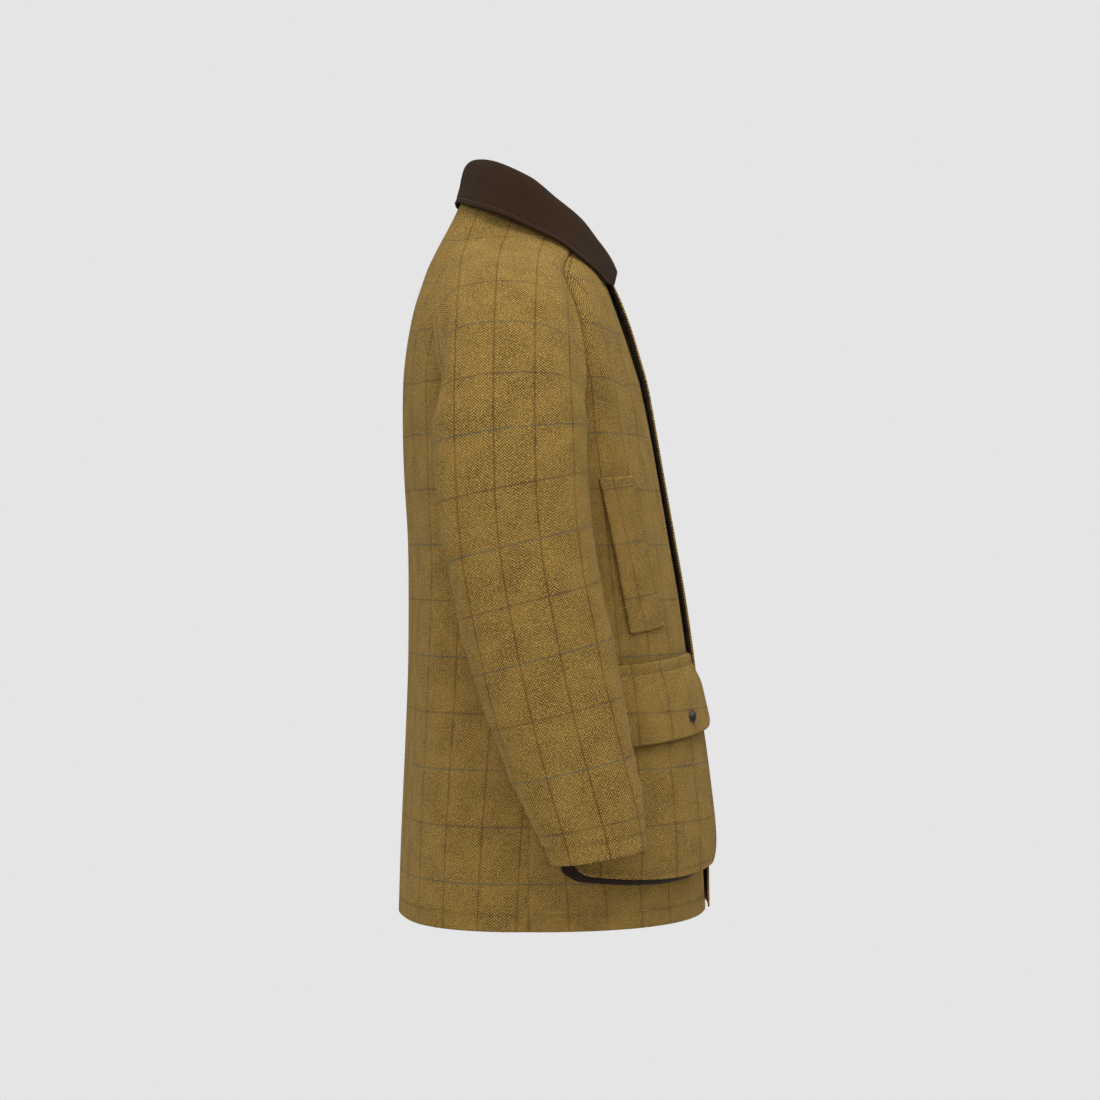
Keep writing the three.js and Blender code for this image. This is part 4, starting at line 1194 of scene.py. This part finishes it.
class CoatColours(bpy.types.PropertyGroup):
    tweed_light: colour_property("Light yarn", "Light yarn of the tweed", (0.6, 0.37, 0.09))
    tweed_dark: colour_property("Dark yarn", "Dark yarn of the tweed", (0.034, 0.019, 0.0045))
    tweed_bloom: colour_property("Bloom", "Soft fibre where the cloth turns away", (0.85, 0.62, 0.26))
    rust_fleck: colour_property("Rust fleck", "Rust flecks in the tweed", (0.25, 0.1, 0.03))
    green_fleck: colour_property("Green fleck", "Green flecks in the tweed", (0.13, 0.14, 0.035))
    pale_fleck: colour_property("Pale fleck", "Pale flecks in the tweed", (0.46, 0.36, 0.16))
    warp_line: colour_property("Rust line", "Upright lines of the overcheck", (0.12, 0.04, 0.013))
    blue_line: colour_property("Blue line", "Blue-grey level lines", (0.055, 0.075, 0.075))
    purple_line: colour_property("Purple line", "Purple-brown level lines", (0.07, 0.036, 0.03))
    thread: colour_property("Tweed thread", "Topstitching on the tweed", (0.2, 0.14, 0.05))
    collar: colour_property("Needlecord", "Pile of the collar", (0.038, 0.0205, 0.0105))
    collar_thread: colour_property("Collar thread", "Topstitching on the collar", (0.12, 0.08, 0.052))
    facing: colour_property("Facing", "Dark facing of the fly and gussets", (0.03, 0.017, 0.011))
    metal: colour_property("Gunmetal", "Caps of the press studs", (0.085, 0.08, 0.088))
    backdrop: colour_property("Backdrop", "Floor and surroundings", (0.8, 0.8, 0.8))


# Pieces
def cloth_piece(node, grid, normals, thickness, cloth, slot, closed_from=None, paths=()):
    """One piece of cloth with its topstitching, dressed over the CAD node of its name."""
    piece = sheet_object(node + "_cloth", grid, normals, thickness, cloth, finish(slot), closed_from)
    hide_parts(node)
    if paths:
        weave = bpy.context.scene.coat_weave
        sizes = (weave.stitch / MM, weave.stitch_gap / MM, weave.thread / MM)
        thread = "collar thread" if slot == "needlecord" else "tweed thread"
        stitching = mesh_object(node + "_stitching", *stitch_mesh(paths, *sizes), finish(thread))
    return piece


HEM_STITCH = 16.5
HEM_PATH_POINTS = 80


def hem_path(side, low, high):
    angle = np.linspace(low, high, HEM_PATH_POINTS)
    z = np.full(angle.size, HEM_Z + HEM_STITCH)
    path = body_point(side, angle, z, THREAD_LIFT)
    return path, unit(path * (1, 1, 0))


class COAT_OT_fronts(bpy.types.Operator):
    """Build the two front panels"""

    bl_idname = "coat.fronts"
    bl_label = "Fronts"

    def execute(self, context):
        for name, side in SIDES.items():
            grid, normals = cloth_panels()["front_" + name]
            cloth = body_cloth(grid, 0) - (FRONT_GRAIN, 0)
            thickness = hem_thickness(grid[..., 2] - HEM_Z, CLOTH, HEM_CLOTH)
            across = run_lengths(grid, axis=1)
            drawn = draw_in(grid, ["start", "end", "top"])
            drawn = pucker(drawn, normals, across[:, -1:] - across)
            drawn = pucker(drawn, normals, grid[..., 2] - HEM_Z - HEM_STITCH)
            paths = [hem_path(side, 1, SIDE_ANGLE)]
            cloth_piece("front_" + name, drawn, normals, thickness, cloth, "tweed", paths=paths)
        return {"FINISHED"}


class COAT_OT_back(bpy.types.Operator):
    """Build the back panel"""

    bl_idname = "coat.back"
    bl_label = "Back"

    def execute(self, context):
        grid, normals = cloth_panels()["back"]
        cloth = body_cloth(grid, BACK_COLUMNS - 1) - (BACK_GRAIN, 0)
        thickness = hem_thickness(grid[..., 2] - HEM_Z, CLOTH, HEM_CLOTH)
        across = run_lengths(grid, axis=1)
        drawn = draw_in(grid, ["start", "end", "top"])
        drawn = pucker(drawn, normals, np.minimum(across, across[:, -1:] - across))
        drawn = pucker(drawn, normals, grid[..., 2] - HEM_Z - HEM_STITCH)
        paths = [hem_path(side, SIDE_ANGLE, BACK_ANGLE) for side in SIDES.values()]
        cloth_piece("back", drawn, normals, thickness, cloth, "tweed", paths=paths)
        return {"FINISHED"}


class COAT_OT_sleeves(bpy.types.Operator):
    """Build the two raglan sleeves"""

    bl_idname = "coat.sleeves"
    bl_label = "Sleeves"

    def execute(self, context):
        closed = len(SEAM_RISES) - 1
        for name, side in SIDES.items():
            grid, normals = cloth_panels()["sleeve_" + name]
            rows = np.arange(len(grid))[:, None]
            above_cuff = np.where(rows > closed, grid[..., 2] - grid[-1, :, 2], 10 * HEM_TURN_UP)
            thickness = hem_thickness(above_cuff, CLOTH, HEM_CLOTH)
            drawn = grid.copy()
            drawn[:closed] = draw_in(grid[:closed], ["start", "end"])
            across = run_lengths(grid, axis=1)
            seam = np.minimum(across, across[:, -1:] - across)
            drawn = pucker(drawn, normals, np.where(rows < closed, seam, FAR_AWAY))
            drawn = pucker(drawn, normals, np.where(rows > closed, above_cuff - HEM_STITCH, FAR_AWAY))
            ring = arm_ring(side, CUFF_Z + HEM_STITCH)
            around = unit(ring - ring.mean(axis=0))
            cloth_piece(
                "sleeve_" + name,
                drawn,
                normals,
                thickness,
                sleeve_cloth(grid),
                "tweed",
                closed_from=closed,
                paths=[(ring + around * THREAD_LIFT, around)],
            )
        return {"FINISHED"}


class COAT_OT_collar(bpy.types.Operator):
    """Build the turned-down collar"""

    bl_idname = "coat.collar"
    bl_label = "Collar"

    def execute(self, context):
        grid = collar_grid()
        normals = grid_normals(grid, 1)
        around = run_lengths(grid, axis=0)[:, -1:]
        down = run_lengths(grid, axis=1)
        cloth = np.stack([np.broadcast_to(around, grid.shape[:2]), down], axis=-1)
        stitch = COLLAR_STITCH
        row, end = stitch["row"], stitch["from_end"]
        grid = pucker(grid, normals, down - down[:, row : row + 1], stitch["depth"], stitch["width"])
        side = slice(stitch["first_point"], row)
        places = ((slice(end, -end), row), (end, side), (-end - 1, side))
        paths = [grid_path(grid, normals, *place) for place in places]
        cloth_piece("collar", grid, normals, COLLAR_CLOTH, cloth, "needlecord", paths=paths)
        return {"FINISHED"}


class COAT_OT_welts(bpy.types.Operator):
    """Build the hand-warmer pockets' welts"""

    bl_idname = "coat.welts"
    bl_label = "Welts"

    def execute(self, context):
        for name, side in SIDES.items():
            grid = patch_grid(side, np.linspace(0, 1, 24), np.linspace(0, 1, 90), welt_place, welt_proud)
            normals = grid_normals(grid, -side)
            run = run_lengths(grid, axis=0)
            beside = run_lengths(grid, axis=1)
            low, high, edge = (WELT_STITCH[key] for key in ("bottom", "top", "edge"))
            for line in (low, high):
                grid = pucker(grid, normals, run - line * run[-1:], 0.5)
            grid = pucker(grid, normals, beside - edge * beside[:, -1:], 0.4)
            across = np.linspace(low, WELT_STITCH["rear"], 20)
            rows = [(across, low), (across, high), (edge, np.linspace(low, high, 60))]
            paths = [patch_path(side, a, u, welt_place, welt_proud) for a, u in rows]
            cloth = local_cloth(grid, WELT_GRAIN)
            node = "welt_" + name
            cloth_piece(node, grid, normals, WELT_CLOTH, cloth, "tweed", paths=paths)
        return {"FINISHED"}


class COAT_OT_pockets(bpy.types.Operator):
    """Build the bellows pockets' fronts and gussets"""

    bl_idname = "coat.pockets"
    bl_label = "Bellows Pockets"

    def execute(self, context):
        for name, side in SIDES.items():
            across = eased(84)
            grid = patch_grid(side, across, crowded(80), pocket_place, pocket_proud)
            normals = grid_normals(grid, -side)
            cloth = front_cloth(side, grid)
            up = run_lengths(grid, axis=0)
            stitch = POCKET_STITCH
            grid = pucker(grid, normals, up - stitch["bottom"] * up[-1:], 0.5)
            edge = np.linspace(stitch["from"], stitch["to"], 40)
            low = across[stitch["corner_points"] : -stitch["corner_points"]]
            rows = [(low, stitch["bottom"]), (stitch["side"], edge), (1 - stitch["side"], edge)]
            paths = [patch_path(side, a, u, pocket_place, pocket_proud) for a, u in rows]
            node = "pocket_front_" + name
            cloth_piece(node, grid, normals, POCKET_CLOTH, cloth, "tweed", paths=paths)
            grid = gusset_grid(side)
            normals = grid_normals(grid, side)
            node = "pocket_gusset_" + name
            thick = GUSSET_CLOTH["thick"]
            cloth_piece(node, grid, normals, thick, local_cloth(grid), "facing")
        return {"FINISHED"}


class COAT_OT_pocket_flaps(bpy.types.Operator):
    """Build the bellows pockets' flaps"""

    bl_idname = "coat.pocket_flaps"
    bl_label = "Pocket Flaps"

    def execute(self, context):
        for name, side in SIDES.items():
            grid = patch_grid(side, eased(84), np.linspace(0, 1, 64), flap_place, flap_proud)
            normals = grid_normals(grid, -side)
            down = run_lengths(grid, axis=0)
            grid = pucker(grid, normals, down - FLAP_STITCH * down[-1:])
            across = np.linspace(0.01, 0.99, 80)
            paths = [patch_path(side, across, FLAP_STITCH, flap_place, flap_proud)]
            cloth = front_cloth(side, grid)
            node = "pocket_flap_" + name
            cloth_piece(node, grid, normals, FLAP_CLOTH, cloth, "tweed", paths=paths)
        return {"FINISHED"}


class COAT_OT_fly(bpy.types.Operator):
    """Build the fly flap and the dark facing under it"""

    bl_idname = "coat.fly"
    bl_label = "Fly"

    def execute(self, context):
        grid = fly_grid(FLY_REACH, FLY_ENDS, FLY_POINTS, 0)
        normals = grid_normals(grid, -1)
        path = grid_path(grid, normals, slice(None), FLY_STITCH_COLUMN)
        cloth = local_cloth(grid, FLY_REACH[0])
        cloth_piece("fly_flap", grid, normals, FLY["cloth"], cloth, "tweed", paths=[path])
        grid = fly_grid(FACING_REACH, FACING_ENDS, FACING_POINTS, FLY["cloth"] + FLY["facing_clear"])
        normals = grid_normals(grid, -1)
        cloth = local_cloth(grid)
        cloth_piece("fly_facing", grid, normals, FLY["facing_cloth"], cloth, "facing")
        return {"FINISHED"}


class COAT_OT_press_studs(bpy.types.Operator):
    """Build the caps of the press studs"""

    bl_idname = "coat.press_studs"
    bl_label = "Press Studs"

    def execute(self, context):
        metal = finish("gunmetal")
        places = []
        for name, side in SIDES.items():
            for end, angle in FLAP_STUDS["angles"].items():
                across = (angle - FLAP_ENDS["front"]) / (FLAP_ENDS["rear"] - FLAP_ENDS["front"])
                proud = flap_proud(across, 0, FLAP_STUDS["z"]) + FLAP_STUDS["clear"]
                node = "_".join(("flap_stud", end, name))
                places.append((node, side, angle, FLAP_STUDS["z"], proud, FLAP_STUDS["radius"]))
        for k, z in enumerate(FLY_STUDS["z"], 1):
            angle = float(fly_angle(FLY_STUDS["x"], z))
            places.append(("fly_stud_" + str(k), -1, angle, z, FLY_STUDS["clear"], FLY_STUDS["radius"]))
        for node, side, angle, z, proud, radius in places:
            foot = body_point(side, angle, z, proud)
            up = unit(body_point(side, angle, z, proud + 1) - foot)
            cap = stud_object(node + "_cap", foot, up, radius, metal)
            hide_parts(node)
        return {"FINISHED"}


# Camera, lights, surroundings and floor. Straight at the camera the surroundings show as an even backing; the
# light they give comes mostly from above.
CAMERA = {"x": -2.9, "y": -0.0228, "z": -0.3876, "lens": 83.25, "sensor": 36}
FLOOR = {"z": -1.5, "radius": 2.2, "sides": 128}
LIGHTS = (
    ("key", (-1.2, -0.3, 2.1), 1.4, 33),
    ("fill", (-2.9, 0.5, 0.4), 1.6, 32),
    ("front", (0.6, -2.8, 1.0), 1.6, 22),
    ("rear", (0.9, 2.7, 1.0), 1.6, 16),
)
LIGHT_TARGET = (0, 0, -0.4)
SKY = 0.8
GROUND = 0.1
BACKING = 0.98


def aim(thing, target):
    thing.rotation_euler = (Vector(target) - thing.location).to_track_quat("-Z", "Y").to_euler()


def floor_object(material):
    """A round floor under the coat."""
    turn = np.linspace(0, 2 * np.pi, FLOOR["sides"], endpoint=False)
    points = [(FLOOR["radius"] * math.cos(t), FLOOR["radius"] * math.sin(t), FLOOR["z"]) for t in turn]
    mesh = bpy.data.meshes.new("floor")
    mesh.from_pydata(points, [], [tuple(range(len(points)))])
    mesh.materials.append(material)
    floor = bpy.data.objects.new("floor", mesh)
    bpy.context.scene.collection.objects.link(floor)
    return floor


def floor_finish(tint):
    material = bpy.data.materials.new("floor")
    material.use_nodes = True
    shader = material.node_tree.nodes["Principled BSDF"]
    shader.inputs["Base Color"].default_value = rgba(tint)
    shader.inputs["Roughness"].default_value = 1
    shader.inputs["Specular IOR Level"].default_value = 0
    return material


def add_camera(scene):
    lens = bpy.data.cameras.new("camera")
    lens.lens = CAMERA["lens"]
    lens.sensor_width = CAMERA["sensor"]
    camera = bpy.data.objects.new("camera", lens)
    camera.location = (CAMERA["x"], CAMERA["y"], CAMERA["z"])
    camera.rotation_euler = (math.pi / 2, 0, -math.pi / 2)
    scene.collection.objects.link(camera)
    scene.camera = camera


def add_lights(scene):
    for name, place, size, power in LIGHTS:
        lamp = bpy.data.lights.new(name, "AREA")
        lamp.size = size
        lamp.energy = power
        light = bpy.data.objects.new(name, lamp)
        light.location = place
        aim(light, LIGHT_TARGET)
        scene.collection.objects.link(light)


def add_surroundings(scene, tint):
    world = bpy.data.worlds.new("studio")
    world.use_nodes = True
    tree = world.node_tree
    backing = tree.nodes["Background"]
    backing.inputs["Color"].default_value = rgba(tint)
    way = add_node(tree, "ShaderNodeTexCoord").outputs["Generated"]
    height = add_node(tree, "ShaderNodeSeparateXYZ", Vector=way).outputs[2]
    overhead = calc(tree, "MULTIPLY", step(tree, -0.3, 1.0, height), SKY - GROUND)
    seen = add_node(tree, "ShaderNodeLightPath").outputs["Is Camera Ray"]
    unseen = calc(tree, "SUBTRACT", 1.0, seen)
    given = calc(tree, "MULTIPLY", calc(tree, "ADD", overhead, GROUND), unseen)
    shown = calc(tree, "MULTIPLY", seen, BACKING)
    feed(tree, backing.inputs["Strength"], calc(tree, "ADD", given, shown))
    scene.world = world
    scene.view_settings.view_transform = "Standard"


class COAT_OT_stage(bpy.types.Operator):
    """Set up the camera, the lights and a pale floor"""

    bl_idname = "coat.stage"
    bl_label = "Stage"

    def execute(self, context):
        tint = context.scene.coat_colours.backdrop
        add_camera(context.scene)
        add_lights(context.scene)
        add_surroundings(context.scene, tint)
        floor_object(floor_finish(tint))
        return {"FINISHED"}


STEPS = (
    COAT_OT_fronts,
    COAT_OT_back,
    COAT_OT_sleeves,
    COAT_OT_collar,
    COAT_OT_welts,
    COAT_OT_pockets,
    COAT_OT_pocket_flaps,
    COAT_OT_fly,
    COAT_OT_press_studs,
    COAT_OT_stage,
)


class COAT_PT_panel(bpy.types.Panel):
    """The coat's sizes, colours and steps"""

    bl_idname = "COAT_PT_panel"
    bl_label = "Tweed Field Coat"
    bl_space_type = "VIEW_3D"
    bl_region_type = "UI"
    bl_category = "Coat"

    def draw(self, context):
        for heading, group in (("Weave", context.scene.coat_weave), ("Colours", context.scene.coat_colours)):
            box = self.layout.box()
            box.label(text=heading)
            for name in group.__annotations__:
                box.prop(group, name)
        for operator in STEPS:
            self.layout.operator(operator.bl_idname)


CLASSES = (CoatWeave, CoatColours, *STEPS, COAT_PT_panel)


def register():
    for cls in CLASSES:
        bpy.utils.register_class(cls)
    bpy.types.Scene.coat_weave = PointerProperty(type=CoatWeave)
    bpy.types.Scene.coat_colours = PointerProperty(type=CoatColours)


def unregister():
    del bpy.types.Scene.coat_colours
    del bpy.types.Scene.coat_weave
    for cls in reversed(CLASSES):
        bpy.utils.unregister_class(cls)


def main():
    register()
    bpy.ops.coat.fronts()
    bpy.ops.coat.back()
    bpy.ops.coat.sleeves()
    bpy.ops.coat.collar()
    bpy.ops.coat.welts()
    bpy.ops.coat.pockets()
    bpy.ops.coat.pocket_flaps()
    bpy.ops.coat.fly()
    bpy.ops.coat.press_studs()
    bpy.ops.coat.stage()


if __name__ == "__main__":
    main()
